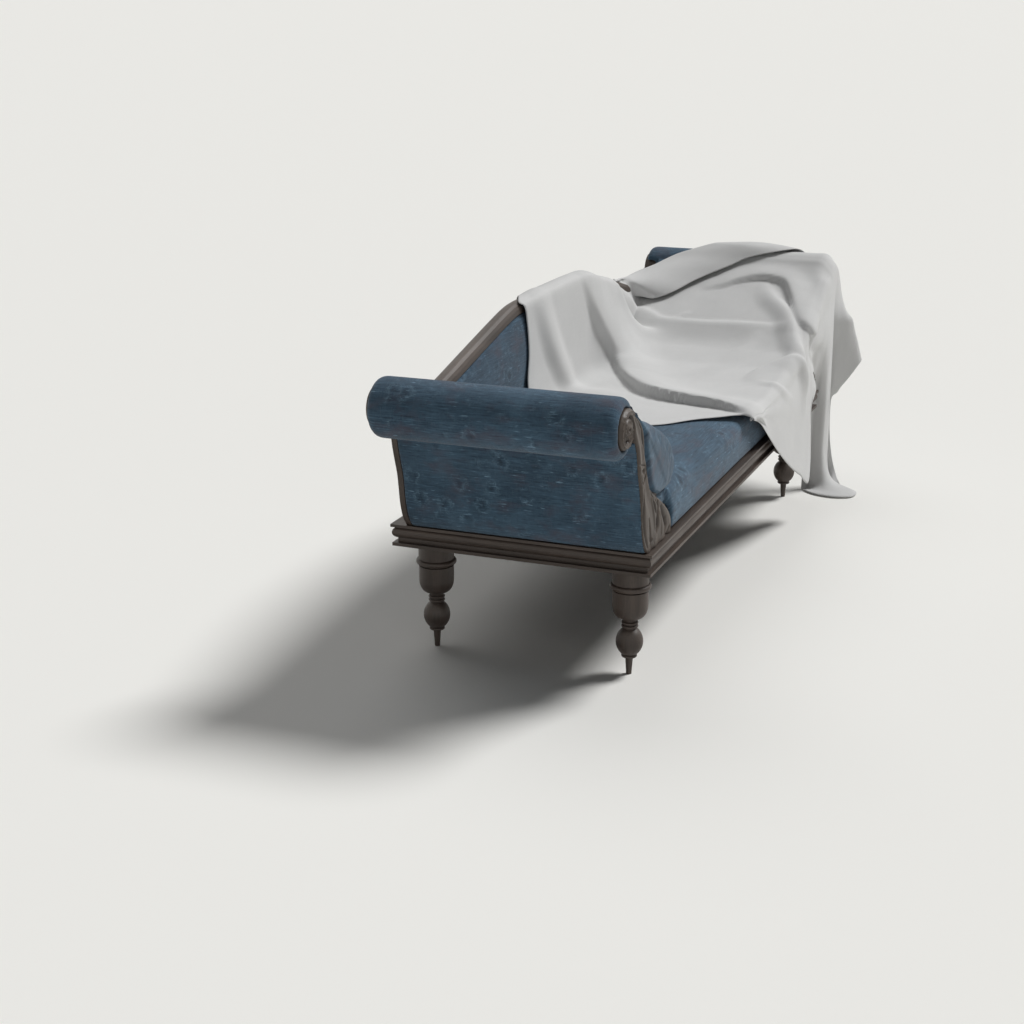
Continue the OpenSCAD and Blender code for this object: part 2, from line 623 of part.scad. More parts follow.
// Outline of the inside back between seat, arms and crest
function back_top(count, drop) = [for (i = [0:count]) let (x = mix(-1, 1, i / count) * (crest_end - 8))
    [x, crest_under(x) - drop]];
back_web_count = 9;
module back_webbing() {
    color(jute) intersection() {
        across(pad_back_y, post_front_y) polygon(concat(
            [[-end_post_x - 20, stay_z], [end_post_x + 20, stay_z]],
            reversed([for (p = back_top(24, 3)) if (abs(p[0]) <= end_post_x + 20) p])));
        union() {
            for (i = [0:back_web_count - 1])
                translate([mix(-end_post_x, end_post_x - web_w, i / (back_web_count - 1)), pad_back_y, stay_z])
                    cube([web_w, web_t, crest_top]);
            for (z = [stay_z, stay_z + 85])
                translate([-end_post_x - 20, pad_back_y, z]) cube([2 * end_post_x + 40, web_t, web_w]);
        }
    }
}

// Inside back pad, swelling forward between its edges
back_stations = 34;
back_pad_foot = seat_z + 3;
function back_pad_ring(x) =
    let (low = max(back_pad_foot, slope_from[1] + (abs(x) - slope_from[0]) * tan(slope_angle) + 6),
        high = crest_under(x) - soft_gap, y1 = pad_back_y - soft_gap, y0 = y1 - back_pad_t)
    [for (s = [0, 0.04, 0.12, 0.3, 0.5, 0.7, 0.88, 0.96, 1])
        [x, y0 - back_crown * pow(sin(180 * mix(0.02, 0.98, s)), 0.5)
            + (s == 0 || s == 1 ? back_pad_t * 0.5 : 0), mix(low, high, s)]];
module inside_back_pad() {
    y1 = pad_back_y - soft_gap;
    end = crest_end - 22;
    color(blue) loft([for (i = [-back_stations / 2:back_stations / 2])
        let (x = end * i / (back_stations / 2), front = back_pad_ring(x))
        concat(front, [[x, y1, front[8][2]], [x, y1, front[0][2]]])]);
}

module outside_back_cover() {
    end = board_foot_x - soft_gap;
    color(blue) across(post_back_y + soft_gap, crest_back_y) polygon(concat(
        [[-end, ledge_h + soft_gap], [end, ledge_h + soft_gap]],
        reversed([for (i = [0:24]) let (x = mix(-end, end, i / 24)) [x, crest_under(x) - soft_gap]])));
}

// Loose throw over the head half. Lists drawn by hand: share of the way from the left corner to the far
// corner, place along the chaise, distance out from the base (or behind the crest's front), height
front_hem = [[0, -2, 9, 424], [0.06, 70, 14, 410], [0.12, 155, 20, 356], [0.18, 265, 26, 282],
    [0.24, 388, 32, 215], [0.30, 490, 38, 165], [0.36, 604, 43, 124], [0.38, 632, 38, 172],
    [0.40, 644, 34, 240], [0.43, 668, 30, 336], [0.46, 730, 24, 396], [0.49, 836, 8, 388],
    [0.52, 882, 7, 240], [0.54, 866, 9, 64], [0.555, 850, 20, 3], [0.575, 838, 44, 3],
    [0.595, 840, 98, 3], [0.62, 896, 136, 3], [0.645, 950, 108, 3], [0.67, 994, 42, 40],
    [0.70, 1012, 16, 250], [0.74, 1026, 46, 318], [0.79, 1042, 80, 368], [0.85, 1070, 98, 408],
    [0.92, 1102, 62, 421], [1, 1122, 29, 400]];
front_low = [[0, -2, 8, 433], [0.12, 158, 17, 392], [0.24, 378, 26, 308], [0.36, 596, 34, 246],
    [0.40, 628, 28, 330], [0.43, 664, 22, 410], [0.455, 732, 9, 450], [0.49, 812, 8, 442],
    [0.52, 880, 7, 360], [0.54, 906, 9, 270], [0.555, 922, 16, 215], [0.575, 932, 22, 160],
    [0.62, 956, 24, 110], [0.67, 982, 20, 180], [0.70, 1000, 18, 335], [0.74, 1022, 42, 410],
    [0.80, 1050, 72, 450], [0.88, 1080, 76, 460], [0.92, 1101, 50, 444], [1, 1127, 20, 402]];
front_high = [[0, -2, 7, 442], [0.12, 160, 13, 428], [0.24, 370, 18, 412], [0.32, 520, 20, 430],
    [0.36, 580, 20, 450], [0.40, 640, 14, 484], [0.43, 685, 8, 498], [0.455, 724, 7, 508],
    [0.475, 766, 10, 516], [0.54, 880, 20, 524], [0.62, 970, 19, 526], [0.685, 1012, 10, 540],
    [0.74, 1034, 26, 545], [0.80, 1052, 50, 545], [0.88, 1078, 52, 535],
    [0.92, 1102, 34, 480], [1, 1130, 12, 404]];
back_hem = [[0, -140, 54, 430], [0.08, -60, 60, 400], [0.18, 110, 66, 350], [0.27, 260, 64, 390],
    [0.34, 430, 60, 530], [0.38, 535, 56, 630], [0.40, 585, 55, 655]];
// Share at which the hem crosses the crest; beyond it the cloth's back edge is turned over
// towards the front and lies on the arm as a wide band
turn_share = 0.41;
turned_edge = [[0.41, 612, 40, 706], [0.43, 660, 40, 696], [0.46, 741, 38, 687.5], [0.54, 850, 24, 690],
    [0.575, 920, -30, 710], [0.595, 948, -60, 722], [0.62, 1000, -144, 750], [0.67, 1062, -186, 753],
    [0.74, 1117, -216, 708], [0.79, 1126, -226, 650], [0.85, 1128, -236, 580], [1, 1134, -246, 412]];
band_hem = [[0.41, 612, 8, 702], [0.43, 660, -8, 665], [0.46, 741, -20, 621], [0.48, 748, -62, 620],
    [0.51, 792, -123, 640], [0.54, 862, -172, 668], [0.575, 922, -240, 700], [0.595, 948, -278, 716],
    [0.62, 985, -338, 738], [0.645, 1012, -396, 751], [0.67, 1036, -432, 752], [0.70, 1072, -460, 751],
    [0.74, 1110, -476, 722], [0.79, 1126, -490, 656], [0.85, 1130, -508, 580], [1, 1134, -530, 412]];
left_hem = [[-345, -2], [-290, -22], [-228, -85], [-190, -118], [-153, -172], [-105, -224], [-40, -238],
    [200, -238], [228, -236], [233, -216], [250, -244], [270, -215], [299, -195]];
columns = [0, 0.04, 0.08, 0.12, 0.16, 0.20, 0.24, 0.28, 0.32, 0.36, 0.38, 0.40, 0.43, 0.46, 0.49, 0.52, 0.54,
    0.555, 0.575, 0.595, 0.62, 0.645, 0.67, 0.70, 0.74, 0.79, 0.85, 0.92, 1];
throw_cols = len(columns) - 1;
throw_rows = 20;
// Columns up to this share lie on the chaise; the rest go round the roll and hang at its end
flat_share = 0.62;
over_roll_x = roll_x - 42;
over_r = roll_r + throw_gap + 3;
over_from = acos((over_roll_x - roll_x) / over_r);
over_len = over_r * over_from * PI / 180;
// How far the cloth hangs down at the head end, and how far it stands off from the roll per mm of drop
side_drop = 262;
hang_lean = 0.03;
cloth_back_y = arm_back_y + 7;
cloth_edge_y = facing_y - facing_t - relief - throw_gap;
cloth_front_y = cloth_edge_y - 12;
edge_fall = 14;
// Height of the cloth over seat, inside pad and roll
function cloth_rest(x) = throw_gap + lookup(x, concat(
    [[130, seat_z + seat_crown - 1], [300, seat_z + seat_crown + 8], [450, seat_z + seat_crown + 29],
        [560, seat_z + seat_crown + 55], [630, seat_z + seat_crown + 86]],
    [for (i = [6:-1:0]) arm_at(pad_swell[i]) + [-4, 6]],
    [[over_roll_x, roll_z + over_r * sin(over_from) - throw_gap]]));
function at_share(table, s) = [for (k = [1:3]) lookup(s, [for (r = table) [r[0], r[k]]])];
function from_front(table, s) = let (p = at_share(table, s)) [p[0], -half_depth - p[1], p[2]];
function from_crest(table, s) = let (p = at_share(table, s)) [p[0], crest_front_y + p[1], p[2]];
// Place of a column on the top of the chaise: x and height
function column_at(s, left) = s <= flat_share
    ? let (x = mix(left, over_roll_x, s / flat_share)) [x, cloth_rest(x)]
    : let (run = (s - flat_share) / (1 - flat_share) * (over_len + side_drop),
        turn = over_from - min(run, over_len) / over_r * 180 / PI)
        [roll_x + over_r * cos(turn) + max(0, run - over_len) * hang_lean,
            roll_z + over_r * sin(turn) - max(0, run - over_len)];
function rest_at(x, c) = x < over_roll_x ? cloth_rest(x)
    : c[0] < roll_x + over_r * 0.9 ? roll_z + sqrt(pow(over_r, 2) - pow(x - roll_x, 2)) : c[1];
// Rows over the top from back to front where the cloth hangs down the back: place in depth,
// lift, and share of the way from the crest's height down to the cloth's rest
hang_rows = [[cloth_back_y, -9, 0], [crest_front_y + 24, 3, 0], [crest_front_y + 2, -2, 0],
    [crest_front_y - 12, 0, 0.2], [crest_front_y - 15, 0, 0.6], [crest_front_y - 26, 0, 0.9],
    [crest_front_y - 70, 0, 1], for (k = [1:6]) [mix(crest_front_y - 70, cloth_edge_y + 3, k / 6.5), 0, 1],
    [cloth_edge_y + 3, -1, 1], [cloth_front_y, -edge_fall, 1]];
// How the rows of the turned part share its depth, and how far the cloth drops at the roll's end by depth
band_rows = [0, 0.04, 0.09, 0.15, 0.24, 0.34, 0.45, 0.57, 0.69, 0.81, 0.91, 0.97, 1];
roll_end_fall = [[-facing_y - 4, 0], [-facing_y + 8, 6], [-facing_y + 21, 20], [-cloth_front_y, 44]];
// Depth of the step from the band's hem down to the cloth below it, by share; the cloth then comes
// down to its rest within the band's fall
band_step = [[0.54, 9], [0.60, 24], [0.66, 26], [0.72, 14], [0.8, 9]];
band_fall = 34;
// Shares between which the cloth lies on the roll
on_roll = [0.61, 0.8];
function hang_point(s, k) =
    let (row = hang_rows[k], c = column_at(s, lookup(row[0], left_hem)),
        crest = max(crest_z(c[0]) + throw_gap, c[1]))
    [c[0], row[0], mix(crest, c[1], row[2]) + row[1]];
function band_point(s, k) =
    let (hem = from_crest(band_hem, s), step_y = hem[1] - lookup(s, band_step),
        even = lookup(s, [[0.54, 0], [0.62, 1]]), last = len(band_rows) - 1,
        y = mix(step_y, cloth_front_y, mix(band_rows[k], k / last, even)),
        c = column_at(s, lookup(y, left_hem)), x = mix(c[0], hem[0], max(0, 1 - k / 3)), rest = rest_at(x, c),
        down = max(0, 1 - (step_y - y) / band_fall),
        fall = s > on_roll[1] ? 0 : s > on_roll[0] ? lookup(-y, roll_end_fall) : k == last ? edge_fall : 0)
    [x, y, max(rest, mix(rest, hem[2] - 8, down)) - fall];
// Rows across the band from its turned edge to its hem, near the crest and beyond, and their lift
band_start = [-0.05, 0.05, 0.15, 0.38, 1];
band_spread = [-0.05, 0.08, 0.4, 0.75, 1];
band_puff = [-4, 4, 10, 9, 6];
// Folds as ridge lines: place, and height as a share of the fold depth
long_fold = [[225, 262, 778, 0], [262, 240, 735, 0.25], [325, 232, 640, 0.6], [388, 222, 540, 0.8],
    [372, 168, 478, 0.9], [250, 96, 464, 0.95], [92, -60, 461, 1], [44, -240, 461, 0.8], [6, -325, 458, 0.4],
    [0, -345, 440, 0]];
edge_fold = [[-150, 262, 780, 0], [-64, 232, 640, 0.55], [10, 222, 540, 0.65], [110, 60, 464, 0]];
foot_fold = [[600, 247, 680, 0], [680, 227, 620, 0.5], [702, 205, 592, 0.6], [657, 126, 564, 0.5],
    [657, 1, 564, 0.45], [666, -229, 570, 0.2], [660, -290, 570, 0]];
arm_fold = [[835, 49, 650, 0], [886, -55, 676, 0.35], [914, -121, 692, 0.45], [886, -225, 674, 0.5],
    [765, -298, 618, 0.5], [746, -330, 560, 0.45], [760, -346, 500, 0.3], [800, -346, 440, 0]];
folds = [[long_fold, 105], [edge_fold, 80], [foot_fold, 75], [arm_fold, 65]];
function place(p) = [p[0], p[1], p[2]];
function fold_height(p, line, width) = max([for (k = [0:len(line) - 2])
    let (from = place(line[k]), along = place(line[k + 1]) - from,
        t = max(0, min(1, (p - from) * along / (along * along))), d = norm(p - from - t * along))
    d < width ? mix(line[k][3], line[k + 1][3], t) * (1 + cos(180 * d / width)) / 2 : 0]);
// The net's rows: three from the back hem or five over the band, then those over the top, then three
// down the front
function bare_point(i, j) = let (s = columns[i])
    j == throw_rows ? from_front(front_hem, s) : j == throw_rows - 1 ? from_front(front_low, s)
    : j == throw_rows - 2 ? from_front(front_high, s)
    : s < turn_share
        ? (j > 2 ? hang_point(s, j - 3) : mix(from_crest(back_hem, s), hang_point(s, 0), j / 3))
        : j > 4 ? band_point(s, j - 5)
            : mix(from_crest(turned_edge, s), from_crest(band_hem, s), (s < 0.45 ? band_start : band_spread)[j])
                + [0, 0, band_puff[j]];
function throw_point(i, j) = let (p = bare_point(i, j),
        lift = fold_depth * max([for (f = folds) fold_height(p, f[0], f[1])]),
        upright = p[1] > crest_front_y - 66 || j > throw_rows - 4)
    p + (upright ? [0, -lift, 0] : [0, 0, lift]);
function unit(v) = v / norm(v);
function throw_normal(i, j) = unit(cross(
    throw_point(min(i + 1, throw_cols), j) - throw_point(max(i - 1, 0), j),
    throw_point(i, max(j - 1, 0)) - throw_point(i, min(j + 1, throw_rows))));
module throw() {
    w = throw_rows + 1;
    n = (throw_cols + 1) * w;
    points = [for (side = [0.5, -0.5], i = [0:throw_cols], j = [0:throw_rows])
        let (p = throw_point(i, j) + side * throw_t * throw_normal(i, j)) [p[0], p[1], max(p[2], 0)]];
    faces = [for (i = [0:throw_cols - 1], j = [0:throw_rows - 1], k = [0:3])
        let (a = i * w + j, b = a + 1, c = a + w, d = a + w + 1)
        k == 0 ? [a, c, b] : k == 1 ? [c, d, b] : k == 2 ? [n + a, n + b, n + c] : [n + c, n + b, n + d]];
    border = concat([for (j = [0:throw_rows - 1]) j],
        [for (i = [0:throw_cols - 1]) i * w + throw_rows],
        [for (j = [throw_rows:-1:1]) throw_cols * w + j], [for (i = [throw_cols:-1:1]) i * w]);
    edges = [for (k = [0:len(border) - 1], h = [0, 1])
        let (a = border[k], b = border[(k + 1) % len(border)]) h == 0 ? [a, b, n + a] : [b, n + b, n + a]];
    color(throw_grey) polyhedron(points, concat(faces, edges), convexity = 12);
}

// Reach of the throw's foot in front of the base. The chaise is drawn round the middle of its base,
// and the frame's origin lies under the middle of the whole outline, half that reach further forward
throw_reach = max([for (point = front_hem) point[2]]);
module placed() translate([0, throw_reach / 2, 0]) children();

placed() leg(-1, -1);  // leg_front_foot
placed() leg(-1, 1);  // leg_back_foot
placed() leg(1, -1);  // leg_front_head
placed() leg(1, 1);  // leg_back_head
placed() long_rail();  // base_rail_front
placed() mirror([0, 1, 0]) long_rail();  // base_rail_back
placed() end_rail();  // base_rail_foot
placed() at_foot() end_rail();  // base_rail_head
placed() corner_blocks();
placed() cross_braces();
placed() dust_cover();
placed() seat_rail_long(facing_y);  // seat_rail_front
placed() seat_rail_long(seat_back_y);  // seat_rail_back
placed() at_foot() seat_rail_end();  // seat_rail_foot
placed() seat_rail_end();  // seat_rail_head
placed() seat_webbing();
placed() seat_hessian();
placed() seat_first_stuffing();
placed() seat_cover();
placed() crest_rail();
placed() back_end_posts();
placed() back_mid_posts();
placed() back_stuffing_rail();
placed() back_webbing();
placed() inside_back_pad();
placed() outside_back_cover();
placed() at_foot() carved_facing();  // foot_carved_facing
placed() carved_facing();  // head_carved_facing
placed() at_foot() rear_facing();  // foot_rear_facing
placed() rear_facing();  // head_rear_facing
placed() at_foot() front_board();  // foot_front_board
placed() front_board();  // head_front_board
placed() at_foot() rear_board();  // foot_rear_board
placed() rear_board();  // head_rear_board
placed() at_foot() roll_core();  // foot_roll_core
placed() roll_core();  // head_roll_core
placed() at_foot() slope_rail(top_rail_s);  // foot_top_rail
placed() slope_rail(top_rail_s);  // head_top_rail
placed() at_foot() slope_rail(stuffing_rail_s);  // foot_stuffing_rail
placed() slope_rail(stuffing_rail_s);  // head_stuffing_rail
placed() at_foot() tacking_rail();  // foot_tacking_rail
placed() tacking_rail();  // head_tacking_rail
placed() at_foot() arm_webbing();  // foot_arm_webbing
placed() arm_webbing();  // head_arm_webbing
placed() at_foot() inside_pad();  // foot_inside_pad
placed() inside_pad();  // head_inside_pad
placed() at_foot() roll_pad();  // foot_roll_pad
placed() roll_pad();  // head_roll_pad
placed() at_foot() outside_cover();  // foot_outside_cover
placed() outside_cover();  // head_outside_cover
placed() throw();
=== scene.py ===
"""Camelback chaise longue with a loose sheet over its far half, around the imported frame."""
import math

import bmesh
import bpy
import numpy as np
from mathutils import Matrix, Vector


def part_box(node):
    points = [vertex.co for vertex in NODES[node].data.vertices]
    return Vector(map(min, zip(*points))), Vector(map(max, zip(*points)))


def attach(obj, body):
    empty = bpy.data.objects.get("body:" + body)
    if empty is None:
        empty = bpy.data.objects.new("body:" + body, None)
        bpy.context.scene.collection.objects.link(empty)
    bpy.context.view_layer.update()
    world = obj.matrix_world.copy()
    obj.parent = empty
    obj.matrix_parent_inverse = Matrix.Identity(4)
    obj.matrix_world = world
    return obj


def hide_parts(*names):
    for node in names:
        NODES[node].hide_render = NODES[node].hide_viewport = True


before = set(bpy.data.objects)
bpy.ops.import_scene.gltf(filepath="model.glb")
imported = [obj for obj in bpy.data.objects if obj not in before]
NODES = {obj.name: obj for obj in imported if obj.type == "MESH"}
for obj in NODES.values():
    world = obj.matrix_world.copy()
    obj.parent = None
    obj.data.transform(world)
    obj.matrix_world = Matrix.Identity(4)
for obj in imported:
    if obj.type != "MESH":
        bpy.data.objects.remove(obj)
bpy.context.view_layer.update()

# The chaise is drawn round the middle of its base, which lies here in the frame's depth
BASE_Y = (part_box("base_rail_front")[0].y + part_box("base_rail_back")[1].y) / 2

# Main places of the chaise, in metres from the middle of the base
HALF_LEN = 0.892
LEDGE_Z = 0.336
SEAT_Z = 0.446
ARM_BACK_Y = 0.290
ROLL_X = 1.042
ROLL_Z = 0.667
ROLL_R = 0.071
EDGE_MARGIN = 0.009
ARM_FLARE = 0.150
ARM_RISE = 0.331

# Crest: half its level length, its height there, its fall for each metre beyond, and how soft it bends
CREST_LEVEL = 0.262
CREST_Z = 0.773
CREST_FALL = 0.232
CREST_BEND = 0.050

SIDES = {"foot": -1, "head": 1}
LEGS = ("leg_front_foot", "leg_back_foot", "leg_front_head", "leg_back_head")


def arm_at(out, up):
    """Place on the head arm from shares of its flare and its rise."""
    return Vector((HALF_LEN - EDGE_MARGIN + out * (ARM_FLARE + EDGE_MARGIN), LEDGE_Z + up * ARM_RISE))


# Lower and upper end of the slope on which an arm's inside pad lies
SLOPE_FROM = arm_at(-0.723, 0.417)
SLOPE_TO = arm_at(0.569, 1.078)


def crest_z(x):
    """Height of the crest's top."""
    a = np.abs(x) - CREST_LEVEL
    return CREST_Z - CREST_FALL * (np.sqrt(a * a + CREST_BEND ** 2) + a) / 2


# Materials


class Nodes:
    """A material's node tree with short ways to add and join nodes."""

    def __init__(self, name, roughness=0.6):
        self.mat = bpy.data.materials.new(name)
        self.mat.use_nodes = True
        self.tree = self.mat.node_tree
        self.shader = next(n for n in self.tree.nodes if n.type == "BSDF_PRINCIPLED")
        self.shader.inputs["Roughness"].default_value = roughness

    def add(self, kind, **inputs):
        node = self.tree.nodes.new(kind)
        for key, value in inputs.items():
            self.put(node, key.replace("_", " "), value)
        return node

    def put(self, node, key, value):
        socket = node.inputs[int(key)] if key.isdigit() else node.inputs[key]
        if isinstance(value, bpy.types.NodeSocket):
            self.tree.links.new(value, socket)
        else:
            socket.default_value = value

    def math(self, what, a, b):
        node = self.tree.nodes.new("ShaderNodeMath")
        node.operation = what
        self.put(node, "0", a)
        self.put(node, "1", b)
        return node.outputs[0]

    def on_piece(self):
        """Places on the piece, in metres of the frame."""
        return self.add("ShaderNodeTexCoord").outputs["Object"]

    def on_cloth(self):
        """Places on the cloth that covers the piece, in metres."""
        node = self.add("ShaderNodeUVMap")
        node.uv_map = "cloth"
        return node.outputs[0]

    def place(self, source, scale, turn=(0, 0, 0)):
        node = self.add("ShaderNodeMapping", Vector=source, Scale=scale, Rotation=turn)
        return node.outputs[0]

    def noise(self, vector, scale=1.0, detail=2.0, rough=0.5, warp=0.0):
        node = self.add("ShaderNodeTexNoise", Vector=vector, Scale=scale, Detail=detail,
                        Roughness=rough, Distortion=warp)
        return node.outputs["Fac"]

    def ramp(self, value, stops):
        node = self.add("ShaderNodeValToRGB", Fac=value)
        marks = node.color_ramp.elements
        while len(marks) < len(stops):
            marks.new(0.5)
        for mark, (at, color) in zip(marks, stops):
            mark.position = at
            mark.color = (*color, 1) if hasattr(color, "__len__") else (color, color, color, 1)
        return node.outputs["Color"]

    def span(self, value, low, high, to_low=0.0, to_high=1.0):
        node = self.add("ShaderNodeMapRange", Value=value)
        for key, number in zip(("From Min", "From Max", "To Min", "To Max"), (low, high, to_low, to_high)):
            node.inputs[key].default_value = number
        return node.outputs[0]

    def mix(self, share, a, b, how="MIX"):
        node = self.tree.nodes.new("ShaderNodeMix")
        node.data_type = "RGBA"
        node.blend_type = how
        self.put(node, "0", share)
        for socket, value in ((node.inputs[6], a), (node.inputs[7], b)):
            if isinstance(value, bpy.types.NodeSocket):
                self.tree.links.new(value, socket)
            else:
                socket.default_value = (*value, 1)
        return node.outputs[2]

    def bump(self, height, strength, distance, under=None):
        node = self.add("ShaderNodeBump", Height=height, Strength=strength, Distance=distance)
        if under is not None:
            self.put(node, "Normal", under)
        return node.outputs[0]

    def finish(self, color, rough=None, normal=None):
        self.put(self.shader, "Base Color", color)
        if rough is not None:
            self.put(self.shader, "Roughness", rough)
        if normal is not None:
            self.put(self.shader, "Normal", normal)
        return self.mat


# How far the grain is drawn out along the wood, and the colour of the painted shade in its carved cuts
GRAIN = 0.055
SHADE_IN_CUTS = (0.014, 0.008, 0.006)


def wood(name, grain, dark, mid, light, rough=0.46, cuts=False):
    """Straight-grained wood: its grain runs along one axis (0, 1 or 2) of the frame."""
    n = Nodes(name)
    here = n.on_piece()
    stretch = [1.0, 1.0, 1.0]
    stretch[grain] = GRAIN
    along = n.place(here, stretch)
    broad = n.noise(along, 26, 4, 0.55, 0.6)
    fine = n.noise(along, 210, 3, 0.6)
    pores = n.noise(along, 620, 2, 0.5)
    patches = n.noise(here, 5.5, 3, 0.5)
    color = n.ramp(n.math("ADD", n.math("MULTIPLY", broad, 0.62), n.math("MULTIPLY", fine, 0.38)),
                   [(0.30, dark), (0.52, mid), (0.72, light)])
    color = n.mix(n.span(patches, 0.3, 0.7, 0.0, 0.35), color, n.mix(1.0, color, dark, "MULTIPLY"))
    color = n.mix(n.span(pores, 0.56, 0.66, 0.0, 0.5), color, dark)
    if cuts:
        # Painted shade: the carved cuts darken the deeper they go
        sunk = n.tree.nodes.new("ShaderNodeAttribute")
        sunk.attribute_name = "cut"
        color = n.mix(n.span(sunk.outputs["Fac"], 0.08, 0.85, 0.0, 0.86), color, SHADE_IN_CUTS)
    dull = n.math("ADD", n.span(fine, 0.3, 0.7, rough - 0.06, rough + 0.1),
                  n.span(patches, 0.3, 0.7, -0.03, 0.05))
    normal = n.bump(pores, 0.25, 0.0004, n.bump(fine, 0.3, 0.0006))
    return n.finish(color, dull, normal)


def figured_cloth():
    """Blue furnishing cloth: fine strokes along U, faint threads along V, brown clouds, loose rosettes."""
    n = Nodes("blue figured cloth", 0.82)
    here = n.on_cloth()
    cloud = n.noise(here, 6.5, 4, 0.6)
    gather = n.noise(n.place(here, (1, 1.3, 1)), 8.0, 3, 0.55, 0.4)
    warm = n.noise(n.place(here, (1.2, 2.0, 1), (0, 0, 0.06)), 8.3, 4, 0.62)
    stroke = n.noise(n.place(here, (20, 270, 1)), 1, 3, 0.6)
    dash = n.noise(n.place(here, (34, 210, 1)), 1, 2, 0.5)
    warp = n.noise(n.place(here, (440, 22, 1)), 1, 2, 0.55)
    crackle = n.noise(here, 120, 4, 0.72, 1.2)
    wander = n.tree.nodes.new("ShaderNodeVectorMath")
    wander.operation = "MULTIPLY_ADD"
    n.put(wander, "0", n.add("ShaderNodeTexNoise", Vector=here, Scale=70.0, Detail=3.0).outputs["Color"])
    n.put(wander, "1", (0.022, 0.022, 0.0))
    n.put(wander, "2", here)
    rosette = n.add("ShaderNodeTexVoronoi", Vector=wander.outputs[0], Scale=19.0, Randomness=1.0)
    rosette.voronoi_dimensions = "2D"
    far = rosette.outputs["Distance"]
    eye = n.span(far, 0.22, 0.08)
    ring = n.math("MULTIPLY", n.span(far, 0.20, 0.30), n.span(far, 0.50, 0.34))
    chosen = n.math("MULTIPLY", n.span(gather, 0.48, 0.56), n.span(rosette.outputs["Color"], 0.35, 0.45))
    tone = n.math("ADD", n.math("MULTIPLY", cloud, 0.42),
                  n.math("ADD", n.math("MULTIPLY", stroke, 0.34), n.math("MULTIPLY", crackle, 0.24)))
    base = n.ramp(tone, [(0.34, (0.018, 0.038, 0.062)), (0.46, (0.036, 0.070, 0.108)),
                         (0.56, (0.056, 0.106, 0.158)), (0.70, (0.098, 0.170, 0.238))])
    base = n.mix(n.span(warm, 0.50, 0.68, 0.0, 0.62), base, (0.070, 0.060, 0.080))
    base = n.mix(n.span(warp, 0.56, 0.74, 0.0, 0.30), base, (0.095, 0.140, 0.185))
    base = n.mix(n.span(stroke, 0.60, 0.74, 0.0, 0.50), base, (0.110, 0.200, 0.290))
    base = n.mix(n.span(stroke, 0.42, 0.28, 0.0, 0.50), base, (0.016, 0.030, 0.048))
    petals = n.math("MULTIPLY", n.math("MULTIPLY", ring, chosen), n.span(crackle, 0.42, 0.62, 0.0, 0.62))
    base = n.mix(petals, base, (0.130, 0.215, 0.290))
    hearts = n.math("MULTIPLY", n.math("MULTIPLY", eye, chosen), n.span(crackle, 0.35, 0.55, 0.75, 0.45))
    base = n.mix(hearts, base, (0.014, 0.026, 0.042))
    flecks = n.math("MULTIPLY", n.span(dash, 0.63, 0.72), n.span(gather, 0.44, 0.58, 0.10, 0.75))
    base = n.mix(flecks, base, (0.190, 0.310, 0.420))
    weave = n.add("ShaderNodeTexWave", Vector=here, Scale=330.0, Distortion=0.4)
    weave.bands_direction = "Y"
    threads = n.math("ADD", n.math("MULTIPLY", weave.outputs["Fac"], 0.35),
                     n.math("ADD", stroke, n.math("MULTIPLY", warp, 0.5)))
    normal = n.bump(threads, 0.45, 0.0007, n.bump(n.math("ADD", petals, crackle), 0.30, 0.0012))
    n.shader.inputs["Sheen Weight"].default_value = 0.15
    n.shader.inputs["Sheen Roughness"].default_value = 0.45
    n.shader.inputs["Specular IOR Level"].default_value = 0.25
    return n.finish(base, n.span(crackle, 0.3, 0.7, 0.74, 0.9), normal)


def plain_cloth(name, color, light, across, rough=0.85, laid=False):
    """Plain-woven cloth with slight clouding; across sets how fine its weave is."""
    n = Nodes(name, rough)
    here = n.on_cloth() if laid else n.on_piece()
    cloud = n.noise(here, 6, 3, 0.6)
    slub_u = n.noise(n.place(here, (18, across * 0.6, 18)), 1, 2, 0.5)
    slub_v = n.noise(n.place(here, (across * 0.6, 18, across * 0.6)), 1, 2, 0.5)
    slubs = n.math("ADD", slub_u, slub_v)
    tone = n.math("ADD", n.math("MULTIPLY", cloud, 0.5), n.math("MULTIPLY", slubs, 0.25))
    base = n.mix(n.span(tone, 0.36, 0.64), color, light)
    creases = n.bump(n.noise(here, 38, 3, 0.6), 0.12, 0.002)
    normal = n.bump(slubs, 0.25, 0.0005, creases)
    n.shader.inputs["Sheen Weight"].default_value = 0.15
    n.shader.inputs["Specular IOR Level"].default_value = 0.2
    return n.finish(base, None, normal)


WALNUT = [wood("dark walnut along " + axis, i, (0.032, 0.022, 0.016), (0.066, 0.047, 0.037),
               (0.110, 0.083, 0.066)) for i, axis in enumerate(("length", "depth", "height"))]
CARVED = wood("dark walnut, carved", 2, (0.034, 0.024, 0.017), (0.076, 0.056, 0.043), (0.124, 0.096, 0.077),
              rough=0.44, cuts=True)
# Beech painted dark: painted shade for board edges that lie in shadow
BEECH_IN_PAINTED_SHADE = wood("beech painted dark as shade", 2, (0.026, 0.019, 0.015), (0.052, 0.040, 0.032), (0.085, 0.066, 0.055),
               rough=0.58)
BEECH = wood("bare beech", 0, (0.36, 0.25, 0.15), (0.50, 0.37, 0.23), (0.60, 0.46, 0.31), rough=0.62)
CLOTH = figured_cloth()
JUTE = plain_cloth("jute webbing", (0.30, 0.21, 0.11), (0.46, 0.35, 0.21), 500)
HESSIAN = plain_cloth("old hessian", (0.17, 0.13, 0.08), (0.25, 0.20, 0.13), 420)
BLACK = plain_cloth("black bottoming cloth", (0.010, 0.010, 0.011), (0.020, 0.020, 0.022), 800)
SHEET = plain_cloth("light grey sheet", (0.590, 0.590, 0.585), (0.650, 0.650, 0.645), 1500,
                    rough=0.9, laid=True)

